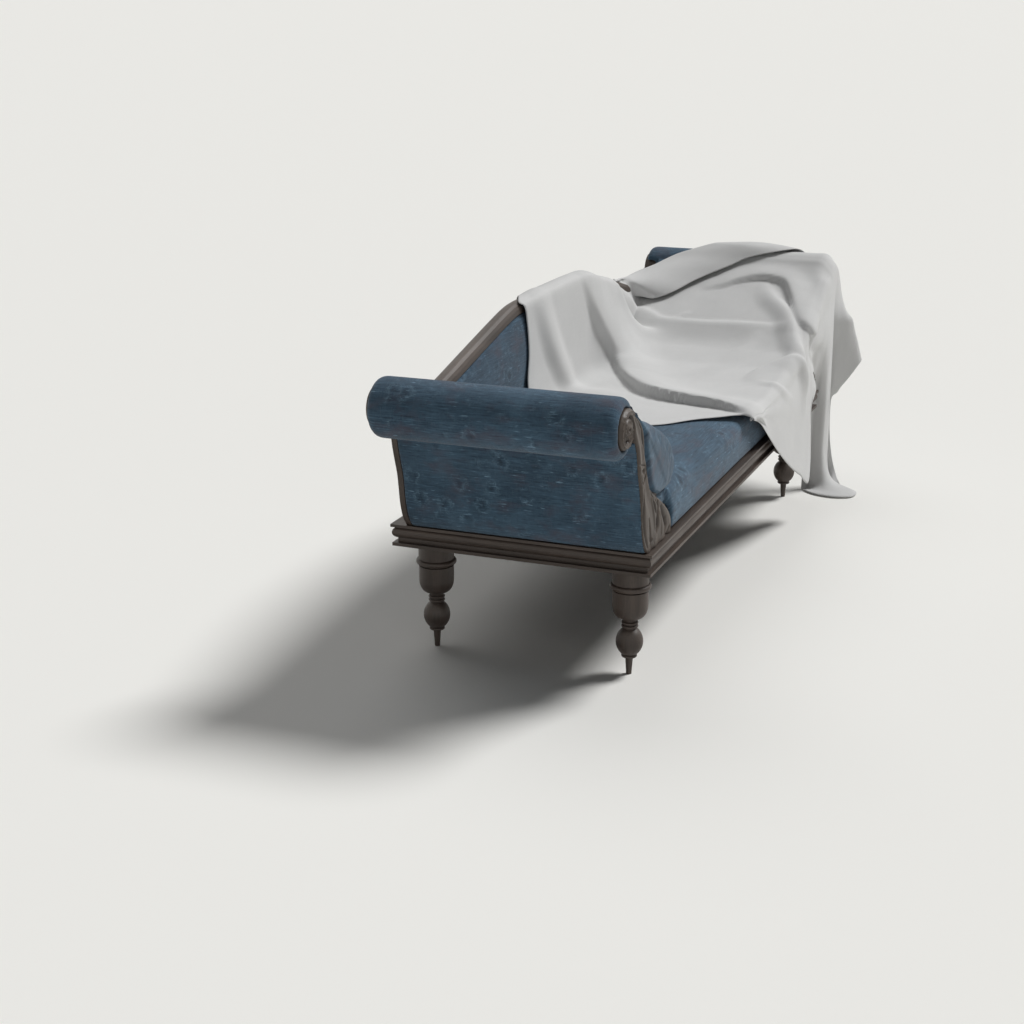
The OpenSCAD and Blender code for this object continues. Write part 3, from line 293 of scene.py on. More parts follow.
# Words in the names of the bare beech pieces of the frame
BEECH_PARTS = ("board", "core", "top_rail", "stuffing_rail", "tacking", "posts", "seat_rail", "blocks",
               "braces")
# Edges of beech that show between the crest and the rolls, and beside the facings; they are painted dark as
# the shade that lies there
PARTS_IN_PAINTED_SHADE = ("foot_rear_board", "head_rear_board", "foot_front_board", "head_front_board",
                 "seat_rail_front")


def dress(node, material):
    """Gives a CAD node its material through the object's own slot."""
    o = NODES[node]
    if not o.data.materials:
        o.data.materials.append(None)
    for s in o.material_slots:
        s.link = "OBJECT"
        s.material = material


for node in ("base_rail_front", "base_rail_back", "crest_rail"):
    dress(node, WALNUT[0])
for node in ("base_rail_foot", "base_rail_head"):
    dress(node, WALNUT[1])
for node in (*LEGS, "foot_rear_facing", "head_rear_facing"):
    dress(node, WALNUT[2])
for node in NODES:
    if node in PARTS_IN_PAINTED_SHADE:
        dress(node, BEECH_IN_PAINTED_SHADE)
    elif any(part in node for part in BEECH_PARTS):
        dress(node, BEECH)
    elif "webbing" in node:
        dress(node, JUTE)
    elif "hessian" in node:
        dress(node, HESSIAN)

# Covers, pads and facings


def piece(name, mesh, material, body="chaise"):
    """A new object at the origin that rides on a body."""
    o = bpy.data.objects.new(name, mesh)
    bpy.context.scene.collection.objects.link(o)
    mesh.materials.clear()
    mesh.materials.append(material)
    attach(o, body)
    return o


def welded(name, *nodes):
    """Copy of one or more CAD nodes' meshes with their triangles joined and their normals outward."""
    bm = bmesh.new()
    for node in nodes:
        bm.from_mesh(NODES[node].data)
    bmesh.ops.remove_doubles(bm, verts=bm.verts, dist=0.00002)
    bmesh.ops.recalc_face_normals(bm, faces=bm.faces)
    mesh = bpy.data.meshes.new(name)
    bm.to_mesh(mesh)
    bm.free()
    return mesh


def applied(o):
    """Bakes an object's modifiers into its mesh."""
    done = bpy.data.meshes.new_from_object(o.evaluated_get(bpy.context.evaluated_depsgraph_get()))
    o.modifiers.clear()
    old = o.data
    o.data = done
    bpy.data.meshes.remove(old)


def points(mesh):
    """A mesh's vertices, measured from the middle of the base."""
    co = np.zeros(len(mesh.vertices) * 3)
    mesh.vertices.foreach_get("co", co)
    return co.reshape(-1, 3) - (0, BASE_Y, 0)


def set_points(mesh, co):
    """Moves a mesh's vertices to places measured from the middle of the base."""
    mesh.vertices.foreach_set("co", (np.asarray(co) + (0, BASE_Y, 0)).astype(np.float32).ravel())
    mesh.update()


def shade_smooth(mesh):
    """Smooth shading all over, with no normals stored from before."""
    mesh.shade_smooth()
    if "custom_normal" in mesh.attributes:
        mesh.attributes.remove(mesh.attributes["custom_normal"])


# The filling of a cover: frames it runs for, and the mass, stretch and bending stiffness of the cloth
FILL_FRAMES = 14
CLOTH_MASS = 0.25
CLOTH_STRETCH = 12.0
CLOTH_BENDING = 1.2


def swell(o, pressure, cap, hold):
    """Fills the cover as stuffing does, lets no point move further than cap, and keeps held points still."""
    start = points(o.data)
    group = o.vertex_groups.new(name="tacked")
    for i in np.nonzero(hold(start))[0]:
        group.add([int(i)], 1.0, "REPLACE")
    cloth = o.modifiers.new("Cloth", "CLOTH")
    s = cloth.settings
    s.quality = 4
    s.mass = CLOTH_MASS
    s.tension_stiffness = s.compression_stiffness = CLOTH_STRETCH
    s.shear_stiffness = CLOTH_STRETCH / 2
    s.bending_stiffness = CLOTH_BENDING
    s.use_pressure = True
    s.uniform_pressure_force = pressure
    s.effector_weights.gravity = 0
    s.vertex_group_mass = "tacked"
    cloth.collision_settings.use_collision = False
    cloth.point_cache.frame_start, cloth.point_cache.frame_end = 1, FILL_FRAMES
    scene = bpy.context.scene
    for f in range(1, FILL_FRAMES + 1):
        scene.frame_set(f)
    applied(o)
    moved = points(o.data) - start
    far = np.linalg.norm(moved, axis=1, keepdims=True)
    set_points(o.data, start + moved * np.minimum(1.0, cap / np.maximum(far, 1e-9)))
    scene.frame_set(1)
    o.vertex_groups.clear()


def remeshed(o, voxel, passes=2):
    """Draws a mesh again in even cells as wide as voxel, and smooths it in a few passes."""
    m = o.modifiers.new("Remesh", "REMESH")
    m.mode = "VOXEL"
    m.voxel_size = voxel
    applied(o)
    m = o.modifiers.new("Smooth", "SMOOTH")
    m.factor, m.iterations = 0.5, passes
    applied(o)


def lay_cloth(o, flat, period=None):
    """Writes the cloth's own UV in metres; period is the girth where a cover closes round on itself."""
    mesh = o.data
    co = points(mesh)
    uv = np.asarray(flat(co), float)
    loops = np.zeros(len(mesh.loops), np.int32)
    mesh.loops.foreach_get("vertex_index", loops)
    out = uv[loops]
    if period:
        starts = np.zeros(len(mesh.polygons), np.int32)
        mesh.polygons.foreach_get("loop_start", starts)
        counts = np.diff(np.append(starts, len(loops)))
        face = np.repeat(np.arange(len(starts)), counts)
        top = np.maximum.reduceat(out[:, 1], starts)[face]
        out[:, 1] += period * (top - out[:, 1] > period / 2)
    layer = mesh.uv_layers.get("cloth") or mesh.uv_layers.new(name="cloth")
    layer.data.foreach_set("uv", out.astype(np.float32).ravel())


def finish_pad(o, node, flat, period=None, levels=1):
    """Smooths, lays the cloth, and puts the piece in the CAD solid's place."""
    lay_cloth(o, flat, period)
    shade_smooth(o.data)
    if levels:
        m = o.modifiers.new("Soft", "SUBSURF")
        m.levels = m.render_levels = levels
        m.uv_smooth = "PRESERVE_BOUNDARIES"
    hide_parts(node)


def finish_sheet(o, node, flat, thickness):
    """Lays the cloth, gives it its thickness, and puts the piece in the CAD solid's place."""
    lay_cloth(o, flat)
    shade_smooth(o.data)
    m = o.modifiers.new("Thickness", "SOLIDIFY")
    m.thickness, m.offset = thickness, 0.0
    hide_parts(node)


# Where each cover was cut from the length of cloth, in metres, so that each shows its own stretch of it
CUT = {"head roll": 1.7, "foot roll": 22.3, "head outside": 3.1, "foot outside": 0.7, "head inside": 5.3,
       "foot inside": 4.1, "seat": 8.0, "inside back": 12.4, "outside back": 14.0}


def roll(end):
    """Padded roll of an arm, tacked along its underside and round its ends."""
    side = SIDES[end]
    o = piece(end + "_roll_cover", welded(end + " roll", end + "_roll_pad"), CLOTH)
    remeshed(o, 0.006)
    cx = side * ROLL_X

    def tacked(co):
        reach = np.hypot(co[:, 0] - cx, co[:, 2] - ROLL_Z)
        return (reach < ROLL_R - 0.012) | (co[:, 1] > 0.272) | (co[:, 1] < -0.303)

    swell(o, pressure=3.0, cap=0.002, hold=tacked)

    def flat(co):
        turn = np.arctan2((co[:, 0] - cx) * side, -(co[:, 2] - ROLL_Z))
        return np.column_stack([co[:, 1] + CUT[end + " roll"], turn * ROLL_R])

    finish_pad(o, end + "_roll_pad", flat, period=2 * math.pi * ROLL_R)


# Outer edge of a facing: distance from the middle, and height
FACING_EDGE = [(0.884, 0.336), (0.9022, 0.360), (0.9112, 0.380), (0.918, 0.400), (0.925, 0.440),
               (0.9331, 0.480), (0.9391, 0.500), (0.9467, 0.520), (0.9538, 0.540), (0.9632, 0.580),
               (0.9697, 0.600), (0.9813, 0.620)]
# How far an outside cover's front edge laps forward over the facing's side
LAP = 0.0125


def outside_cover(end):
    """Cover on the outside of an arm over a thin layer of padding; its front edge laps the facing's side."""
    o = piece(end + "_outer_cover", welded(end + " outer cover", end + "_outside_cover"), CLOTH)
    remeshed(o, 0.0042)
    co = points(o.data)
    edge_x, edge_z = np.array(FACING_EDGE).T
    beyond = np.abs(co[:, 0]) - np.interp(co[:, 2], edge_z, edge_x)
    front = np.clip((-co[:, 1] - 0.280) / 0.018, 0, 1)
    co[:, 1] -= LAP * (front * np.clip((beyond + 0.004) / 0.003, 0, 1))
    set_points(o.data, co)

    def flat(co):
        return np.column_stack([co[:, 1] + CUT[end + " outside"], co[:, 2] + 0.5])

    finish_pad(o, end + "_outside_cover", flat, levels=0)


# Gouge strokes on a facing, in mm, each a row of points: distance from the middle, height, half width, depth
STROKES = [
    [(1001, 660, 2.6, 6), (1008, 680, 2.6, 6.5), (1020, 692, 2.8, 7), (1042, 698, 2.6, 6),
     (1062, 690, 2.4, 5), (1071, 667, 2.2, 4.5), (1063, 647, 2.2, 5), (1048, 638, 3.2, 7),
     (1036, 639, 3.6, 7)],
    [(1019, 684, 4.5, 8), (1012, 672, 3.0, 6), (1014, 655, 2.2, 4.5), (1022, 643, 2.4, 5)],
    [(1049, 652, 2.6, 5), (1043, 640, 3.0, 6)],
    [(996, 689, 3.0, 5), (970, 672, 4.5, 7), (948, 652, 6, 8.5), (934, 626, 7.5, 9), (915, 592, 8.5, 9.5),
     (900, 562, 9, 9.5), (890, 535, 9, 9.5), (880, 512, 8.5, 9.5), (868, 494, 6.5, 8), (858, 480, 4, 5)],
    [(884, 512, 5, 9), (873, 496, 7, 11), (863, 478, 5, 9), (856, 468, 3, 5)],
    [(853, 469, 4, 8), (845, 452, 5.5, 10), (834, 436, 4, 6), (826, 420, 2.5, 3)],
    [(812, 450, 3, 4), (806, 424, 6.5, 9), (812, 402, 7, 10), (810, 382, 6, 9), (822, 366, 4.5, 6),
     (838, 352, 3, 4)],
    [(784, 424, 3, 3), (770, 404, 5, 6), (752, 383, 6.5, 9), (744, 366, 6, 8), (752, 350, 5, 6)],
    [(716, 352, 5, 6), (728, 340, 6, 8), (748, 337, 5, 5)],
    [(919, 497, 3.0, 5), (921, 470, 4.0, 6), (916, 430, 4.5, 6), (908, 400, 4.5, 5.5), (896, 374, 4, 5),
     (884, 352, 3, 4)],
    [(958, 566, 1.8, 3.5), (938, 562, 1.8, 4), (916, 555, 1.8, 3.5)],
    [(927, 545, 4.2, 7.5), (936, 545, 2.4, 5), (943, 538, 2.2, 4.5), (941, 526, 2.2, 4),
     (934, 518, 2.2, 3.5)],
    [(913, 550, 2.4, 4), (906, 538, 2.6, 4.5), (912, 525, 2.6, 4), (922, 516, 2.6, 4), (926, 506, 2.6, 4)],
    [(880, 420, 3, 2.5), (872, 396, 4, 4), (866, 372, 4, 4), (862, 352, 3, 3)],
]
# Raised places left between them, in the same form
RIDGES = [
    [(1030, 672, 9, 4), (1031, 660, 10, 4.5), (1033, 651, 7, 3)],
    [(1074, 655, 4.5, 1.5), (1078, 672, 4.5, 2), (1066, 697, 4.5, 2), (1042, 706, 4.5, 2),
     (1014, 701, 4.5, 2)],
    [(935, 600, 7, 1.5), (927, 574, 6, 1.5)],
    [(932, 554, 4, 1.5), (918, 548, 4, 1.5), (919, 533, 4, 2.5), (931, 536, 3, 1.5)],
    [(862, 462, 4, 2), (850, 440, 4, 2.5), (838, 412, 5, 2.5), (832, 385, 5, 2)],
    [(822, 448, 3, 2), (794, 440, 4, 2), (764, 420, 4, 2), (734, 398, 4, 1.5)],
    [(811, 374, 3, 1.5), (837, 366, 4, 3.5), (856, 365, 4, 3), (868, 352, 3, 1.5)],
    [(790, 410, 4, 1.5), (782, 380, 4, 2), (780, 356, 4, 2)],
]

# Edge of a facing beside which the inside pad is drawn in, then half the width of the draw and its depth
PAD_EDGE = [(982, 690), (962, 677), (940, 661), (918, 638), (903, 603), (889, 565), (877, 535), (867, 508),
            (860, 490), (846, 476)]
PAD_DRAW = (10.0, 11.0)


def along_strokes(co, strokes):
    """How deep a set of strokes goes at each point, in metres."""
    here = np.abs(co[:, [0, 2]]) * 1000
    total = np.zeros(len(co))
    for stroke in strokes:
        deep = np.zeros(len(co))
        marks = np.array(stroke, float)
        for a, b in zip(marks[:-1], marks[1:]):
            run = b[:2] - a[:2]
            mark = a + np.clip(((here - a[:2]) @ run) / (run @ run), 0, 1)[:, None] * (b - a)
            far = np.linalg.norm(here - mark[:, :2], axis=1) / mark[:, 2]
            deep = np.maximum(deep, mark[:, 3] * np.exp(-far ** 2))
        total = np.maximum(total, deep)
    return total / 1000


def inside_pad(end):
    """Fat pad on the inside of an arm."""
    o = piece(end + "_fat_pad", welded(end + " fat pad", end + "_inside_pad"), CLOTH)
    remeshed(o, 0.0065)
    rise = (SLOPE_TO - SLOPE_FROM).normalized()

    def on_slope(co):
        """Places along the arm's slope, and heights above it."""
        x = SIDES[end] * co[:, 0] - SLOPE_FROM[0]
        z = co[:, 2] - SLOPE_FROM[1]
        return x * rise[0] + z * rise[1], x * -rise[1] + z * rise[0]

    def tacked(co):
        return (on_slope(co)[1] < 0.012) | (co[:, 2] > 0.705) | (co[:, 1] > 0.20)

    swell(o, pressure=3.0, cap=0.003, hold=tacked)
    co = points(o.data)
    deep = along_strokes(co, [[(*place, *PAD_DRAW) for place in PAD_EDGE]])
    co[:, 1] += deep * np.clip((-co[:, 1] - 0.297) / 0.012, 0, 1)
    set_points(o.data, co)

    def flat(co):
        s, up = on_slope(co)
        marks = np.linspace(s.min(), s.max(), 30)
        crown = np.interp(s, marks, [up[np.abs(s - v) < 0.012].max(initial=0.0) for v in marks])
        down = np.clip((-co[:, 1] - 0.285) / 0.02, 0, 1) * np.maximum(0, crown - 0.012 - up)
        return np.column_stack([co[:, 1] - down + CUT[end + " inside"], s])

    finish_pad(o, end + "_inside_pad", flat)


def seat():
    """Seat cover with the stuffing it wraps: crowned top, rounded front that drops to the ledge."""
    o = piece("seat_cushion_cover", welded("seat", "seat_cover", "seat_first_stuffing"), CLOTH)
    remeshed(o, 0.0098)

    def tacked(co):
        return (co[:, 2] < SEAT_Z - 0.045) | (co[:, 1] > 0.225) | (np.abs(co[:, 0]) > 0.755)

    swell(o, pressure=2.0, cap=0.003, hold=tacked)

    def flat(co):
        drop = np.minimum(0, co[:, 2] - (SEAT_Z - 0.020))
        return np.column_stack([co[:, 0] + CUT["seat"], co[:, 1] + drop])

    finish_pad(o, "seat_cover", flat)
    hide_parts("seat_first_stuffing")


def back_pad():
    """Inside back, drawn in under the crest and at its foot."""
    o = piece("back_pad_cover", welded("inside back", "inside_back_pad"), CLOTH)
    remeshed(o, 0.006)

    def tacked(co):
        edge = crest_z(co[:, 0]) - 0.030
        return (co[:, 1] > 0.243) | (co[:, 2] > edge - 0.012) | (co[:, 2] < SEAT_Z + 0.015)

    swell(o, pressure=2.5, cap=0.003, hold=tacked)

    def flat(co):
        return np.column_stack([co[:, 0] + CUT["inside back"], co[:, 2]])

    finish_pad(o, "inside_back_pad", flat)


# A facing is carved forward of this place in depth, and at the second depth its cuts are painted in full
# shade
CARVED_Y = -0.3030
CUT_SHADE_DEPTH = 0.009


def carved(end):
    """Carved facing: strap, volute with a boss, a smaller volute lower down, a fluted leaf at the foot."""
    o = piece(end + "_scroll_facing", welded(end + " facing", end + "_carved_facing"), CARVED)
    remeshed(o, 0.002, passes=1)
    co = points(o.data)
    front = np.clip((-co[:, 1] - 0.3035) / 0.006, 0, 1)
    deep = along_strokes(co, STROKES)
    co[:, 1] += front * (deep - along_strokes(co, RIDGES))
    co[:, 1] = np.where(front > 0, np.minimum(co[:, 1], CARVED_Y), co[:, 1])
    set_points(o.data, co)
    # How deep each point is cut, which the material paints as shade
    cut = o.data.attributes.new("cut", "FLOAT", "POINT")
    cut.data.foreach_set("value", (front * np.clip(deep / CUT_SHADE_DEPTH, 0, 1)).astype(np.float32))
    shade_smooth(o.data)
    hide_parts(end + "_carved_facing")


def stretched(name, across, along, place):
    """Sheet of cloth tacked tight on a frame: place gives each grid point's position from shares 0 to 1."""
    bm = bmesh.new()
    bmesh.ops.create_grid(bm, x_segments=across, y_segments=along, size=0.5)
    mesh = bpy.data.meshes.new(name)
    bm.to_mesh(mesh)
    bm.free()
    share = points(mesh) + (0.5, 0.5 + BASE_Y, 0)
    set_points(mesh, place(share[:, 0], share[:, 1]))
    return mesh


# Space between the tacks of the two stretched cloths, in metres
BACK_TACKS = 0.038
BASE_TACKS = 0.055
# Radius of the hole round each leg
LEG_HOLE = 0.0465


def back_cover():
    """Outside back: cloth drawn tight from the ledge to the crest's underside, puckered at its tacks."""
    low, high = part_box("outside_back_cover")
    half = high.x - 0.001

    def place(u, v):
        x = (2 * u - 1) * half
        top = crest_z(x) - 0.0322
        z = low.z + 0.001 + (top - low.z - 0.001) * v
        edge = np.minimum(v * (1 - v), 2.0 * u * (1 - u))
        pucker = np.sin(x * 2 * math.pi / BACK_TACKS) * np.exp(-edge * 26) * 0.0005
        hollow = 0.0011 * np.clip(edge * 6, 0, 1)
        return np.column_stack([x, np.full(len(x), ARM_BACK_Y - 0.0006) - hollow + pucker, z])

    o = piece("back_outer_cover", stretched("outside back", 240, 70, place), CLOTH)
    start = (CUT["outside back"], 0.0)
    finish_sheet(o, "outside_back_cover", lambda co: co[:, [0, 2]] + start, thickness=0.0012)


def bottoming():
    """Black cloth tacked under the base, cut round the four legs."""
    low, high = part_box("dust_cover")
    half_x, half_y = high.x - 0.001, high.y - BASE_Y - 0.001

    def place(u, v):
        x, y = (2 * u - 1) * half_x, (2 * v - 1) * half_y
        edge = np.minimum(1 - np.abs(2 * u - 1), (1 - np.abs(2 * v - 1)) * 0.4)
        ripple = np.sin(x * 2 * math.pi / BASE_TACKS) * np.sin(y * 2 * math.pi / BASE_TACKS + 0.8)
        return np.column_stack([x, y, low.z + 0.0008 - 0.0006 * np.clip(edge * 5, 0, 1)
                                + 0.0003 * ripple * np.exp(-edge * 24)])

    o = piece("bottoming_cloth", stretched("bottoming", 220, 70, place), BLACK)
    bm = bmesh.new()
    bm.from_mesh(o.data)
    for leg in LEGS:
        a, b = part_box(leg)
        mid = (a + b) / 2
        near = [v for v in bm.verts if math.hypot(v.co.x - mid.x, v.co.y - mid.y) < LEG_HOLE]
        bmesh.ops.delete(bm, geom=near, context="VERTS")
    bm.to_mesh(o.data)
    bm.free()
    finish_sheet(o, "dust_cover", lambda co: co[:, :2], thickness=0.0006)


for end in SIDES:
    roll(end)
    outside_cover(end)
    inside_pad(end)
    carved(end)
seat()
back_pad()
back_cover()
bottoming()

# The loose sheet


def through(knots, at):
    """Smooth curve through listed points, read at places given on the scale of the first column."""
    knots = np.asarray(knots, float)
    t, p = knots[:, 0], knots[:, 1:]
    at = np.atleast_1d(at)
    k = np.clip(np.searchsorted(t, at, side="right") - 1, 0, len(t) - 2)
    slope = np.gradient(p, t, axis=0)
    h = (t[k + 1] - t[k])[:, None]
    s = ((at - t[k])[:, None]) / h
    a, b = p[k], p[k + 1]
    m, n = slope[k] * h, slope[k + 1] * h
    return ((2 * s ** 3 - 3 * s ** 2 + 1) * a + (s ** 3 - 2 * s ** 2 + s) * m
            + (-2 * s ** 3 + 3 * s ** 2) * b + (s ** 3 - s ** 2) * n)


# Everything about the sheet is in millimetres from the middle of the base until its mesh is made.
# Left edge of the cloth over the top: place in depth and along the seat
LEFT = [(-345, -2), (-330, -2), (-290, -22), (-228, -85), (-190, -118), (-176, -122), (-153, -172),
        (-105, -224), (-40, -236), (60, -240), (200, -238), (228, -236), (233, -214), (240, -246),
        (250, -244), (268, -204), (290, -150), (299, -135)]
# Height of the cloth over seat, inside pad and the near side of the roll
REST = [(-400, 461), (130, 461), (300, 470), (450, 491), (560, 519), (640, 552), (690, 581), (730, 599),
        (790, 625), (850, 649), (905, 674), (945, 697), (975, 716), (1000, 737)]
# Front: share along the cloth, then the first, second and last point of its fall; the last is the hem
FRONT_UPPER = [(0.0, -2, -335, 449), (0.10, 125, -340, 432), (0.16, 225, -345, 420),
               (0.23, 352, -348, 410), (0.30, 478, -350, 410), (0.36, 580, -350, 450),
               (0.40, 640, -344, 484), (0.43, 685, -334, 498), (0.455, 724, -322, 508),
               (0.475, 766, -340, 516), (0.51, 835, -349, 522), (0.56, 905, -350, 525),
               (0.61, 960, -349, 525), (0.66, 1000, -344, 530), (0.685, 1012, -336, 540),
               (0.73, 1030, -352, 545), (0.80, 1052, -380, 545), (0.88, 1078, -386, 535),
               (0.95, 1112, -352, 495), (1.0, 1130, -312, 455)]
FRONT_LOWER = [(0.0, -2, -335, 447), (0.10, 128, -344, 404), (0.16, 230, -350, 360),
               (0.23, 362, -355, 312), (0.30, 484, -360, 272), (0.36, 596, -364, 246),
               (0.40, 640, -358, 330), (0.43, 690, -352, 410), (0.455, 735, -334, 450),
               (0.475, 790, -322, 450), (0.51, 862, -318, 400), (0.53, 912, -306, 320),
               (0.545, 934, -306, 260), (0.56, 936, -318, 200), (0.59, 938, -342, 120),
               (0.62, 962, -350, 100), (0.66, 992, -350, 110), (0.685, 1004, -346, 240),
               (0.71, 1012, -352, 350), (0.75, 1030, -380, 420), (0.80, 1050, -402, 450),
               (0.88, 1080, -410, 460), (0.95, 1112, -368, 445), (1.0, 1132, -316, 428)]
FRONT_HEM = [(0.0, -2, -336, 445), (0.05, 60, -343, 424), (0.10, 130, -348, 376), (0.16, 235, -354, 304),
             (0.23, 370, -361, 224), (0.30, 490, -368, 165), (0.36, 604, -373, 124),
             (0.385, 636, -367, 182), (0.41, 644, -362, 268), (0.43, 652, -360, 340),
             (0.45, 708, -359, 384), (0.47, 752, -336, 420), (0.49, 838, -324, 392),
             (0.51, 893, -298, 290), (0.53, 934, -296, 140), (0.545, 906, -286, 12), (0.56, 868, -312, 5),
             (0.575, 842, -354, 5), (0.59, 834, -410, 5), (0.605, 856, -458, 5), (0.62, 898, -468, 5),
             (0.64, 940, -446, 5), (0.66, 978, -396, 8), (0.685, 1003, -352, 130), (0.70, 1008, -346, 250),
             (0.73, 1020, -366, 305), (0.77, 1034, -396, 350), (0.81, 1050, -420, 388),
             (0.85, 1070, -428, 408), (0.90, 1096, -402, 418), (0.95, 1118, -358, 424),
             (1.0, 1136, -318, 424)]
# Back: the drop behind the crest, up to the share where the cloth is thrown forward over the arm
TURN = 0.405
BACK_HEM = [(0.0, -140, 304, 430), (0.08, -60, 310, 400), (0.18, 110, 318, 350), (0.27, 260, 316, 390),
            (0.34, 420, 308, 520), (0.38, 530, 296, 640), (TURN, 606, 266, 692)]
BACK_MID = [(0.0, -138, 302, 600), (0.08, -55, 303, 590), (0.18, 115, 306, 560), (0.27, 270, 306, 570),
            (0.34, 425, 302, 630), (0.38, 528, 290, 685), (TURN, 606, 264, 695)]
# Collar: the line where the cloth turns back, and the hem that lies on the cloth below it
TURN_LINE = [(TURN, 262, 697), (0.47, 262, 690), (0.54, 260, 690), (0.57, 228, 702), (0.59, 202, 716),
             (0.603, 170, 731), (0.613, 130, 744), (0.62, 102, 752), (0.66, 70, 757), (0.70, 45, 748),
             (0.74, 30, 714), (0.80, 20, 645), (0.88, 10, 552), (1.0, 0, 412)]
COLLAR_HEM = [(TURN, 598, 259, 688), (0.425, 648, 254, 665), (0.445, 700, 244, 642), (0.46, 740, 226, 622),
              (0.475, 744, 192, 618), (0.49, 758, 162, 624), (0.51, 792, 123, 640), (0.53, 840, 89, 660),
              (0.55, 882, 52, 678), (0.57, 915, 12, 695), (0.59, 943, -23, 710), (0.61, 968, -55, 726),
              (0.625, 987, -96, 738), (0.64, 1004, -136, 746), (0.66, 1024, -172, 752),
              (0.69, 1058, -205, 753), (0.73, 1098, -226, 730), (0.79, 1124, -245, 660),
              (0.86, 1133, -262, 560), (1.0, 1142, -280, 414)]
# How far the collar stands off the cloth below it
COLLAR_AIR = [(TURN, 1), (0.47, 8), (0.54, 16), (0.64, 14), (0.72, 12), (0.80, 10), (1.0, 9)]
# Share along the cloth up to which it lies over the seat, and where it meets the far roll, round which it
# goes at this radius and then hangs
FLAT_SHARE = 0.62
ROLL_TOP_FROM = 1000.0
CLOTH_R = 78.0
SIDE_DROP = 262.0
# Front of the cloth that turns over the arm
SHEET_FRONT = -335
# Rows over the top: place in depth where the cloth hangs down the back, where it slopes away from the back
# and as a share of the way from the turn to the front; then lift, and share of the fall both ways
TOP_ROWS = [(299, 299, 0.0, -17, 0, 0), (290, 290, 0.01, -5, 0, 0), (270, 270, 0.03, 2, 0, 0),
            (250, 250, 0.06, -2, 0, 0), (238, 236, 0.10, -12, 0, 0), (235, 226, 0.14, 0, 0.20, 0.16),
            (233, 208, 0.18, 0, 0.46, 0.44), (229, 182, 0.23, 0, 0.72, 0.72),
            (216, 146, 0.28, 0, 0.92, 0.91), (180, 95, 0.34, 0, 0.99, 0.99), (110, 40, 0.40, 0, 1, 1),
            (40, -20, 0.47, 0, 1, 1), (-50, -80, 0.54, 0, 1, 1), (-130, -140, 0.62, 0, 1, 1),
            (-200, -200, 0.72, 0, 1, 1), (-255, -255, 0.82, 0, 1, 1), (-292, -292, 0.92, 0, 1, 1),
            (-318, -318, 0.965, -1, 1, 1), (-333, -333, 1.0, -14, 1, 1)]
# How far the cloth over the roll's end lies below its top at the last three rows
ROLL_END = (2, 22, 46)
# A hem below this height lies on the floor, and the cloth above it bends at this height
ON_FLOOR = 12
FLOOR_BEND = 22
# Cells of the sheet's mesh across its columns and down them
COLS, ROWS = 190, 210


def ease(x, low, high):
    """Smooth step from 0 at low to 1 at high."""
    t = np.clip((x - low) / (high - low), 0, 1)
    return t * t * (3 - 2 * t)


def over_arm(s):
    """Place along the length and height of a column that lies on the arm or goes round its roll."""
    turn0 = math.acos((ROLL_TOP_FROM - ROLL_X * 1000) / CLOTH_R)
    arc = CLOTH_R * turn0
    run = (s - FLAT_SHARE) / (1 - FLAT_SHARE) * (arc + SIDE_DROP)
    turn = turn0 - np.minimum(run, arc) / CLOTH_R
    return (ROLL_X * 1000 + CLOTH_R * np.cos(turn) + np.maximum(0, run - arc) * 0.06,
            ROLL_Z * 1000 + CLOTH_R * np.sin(turn) - np.maximum(0, run - arc))


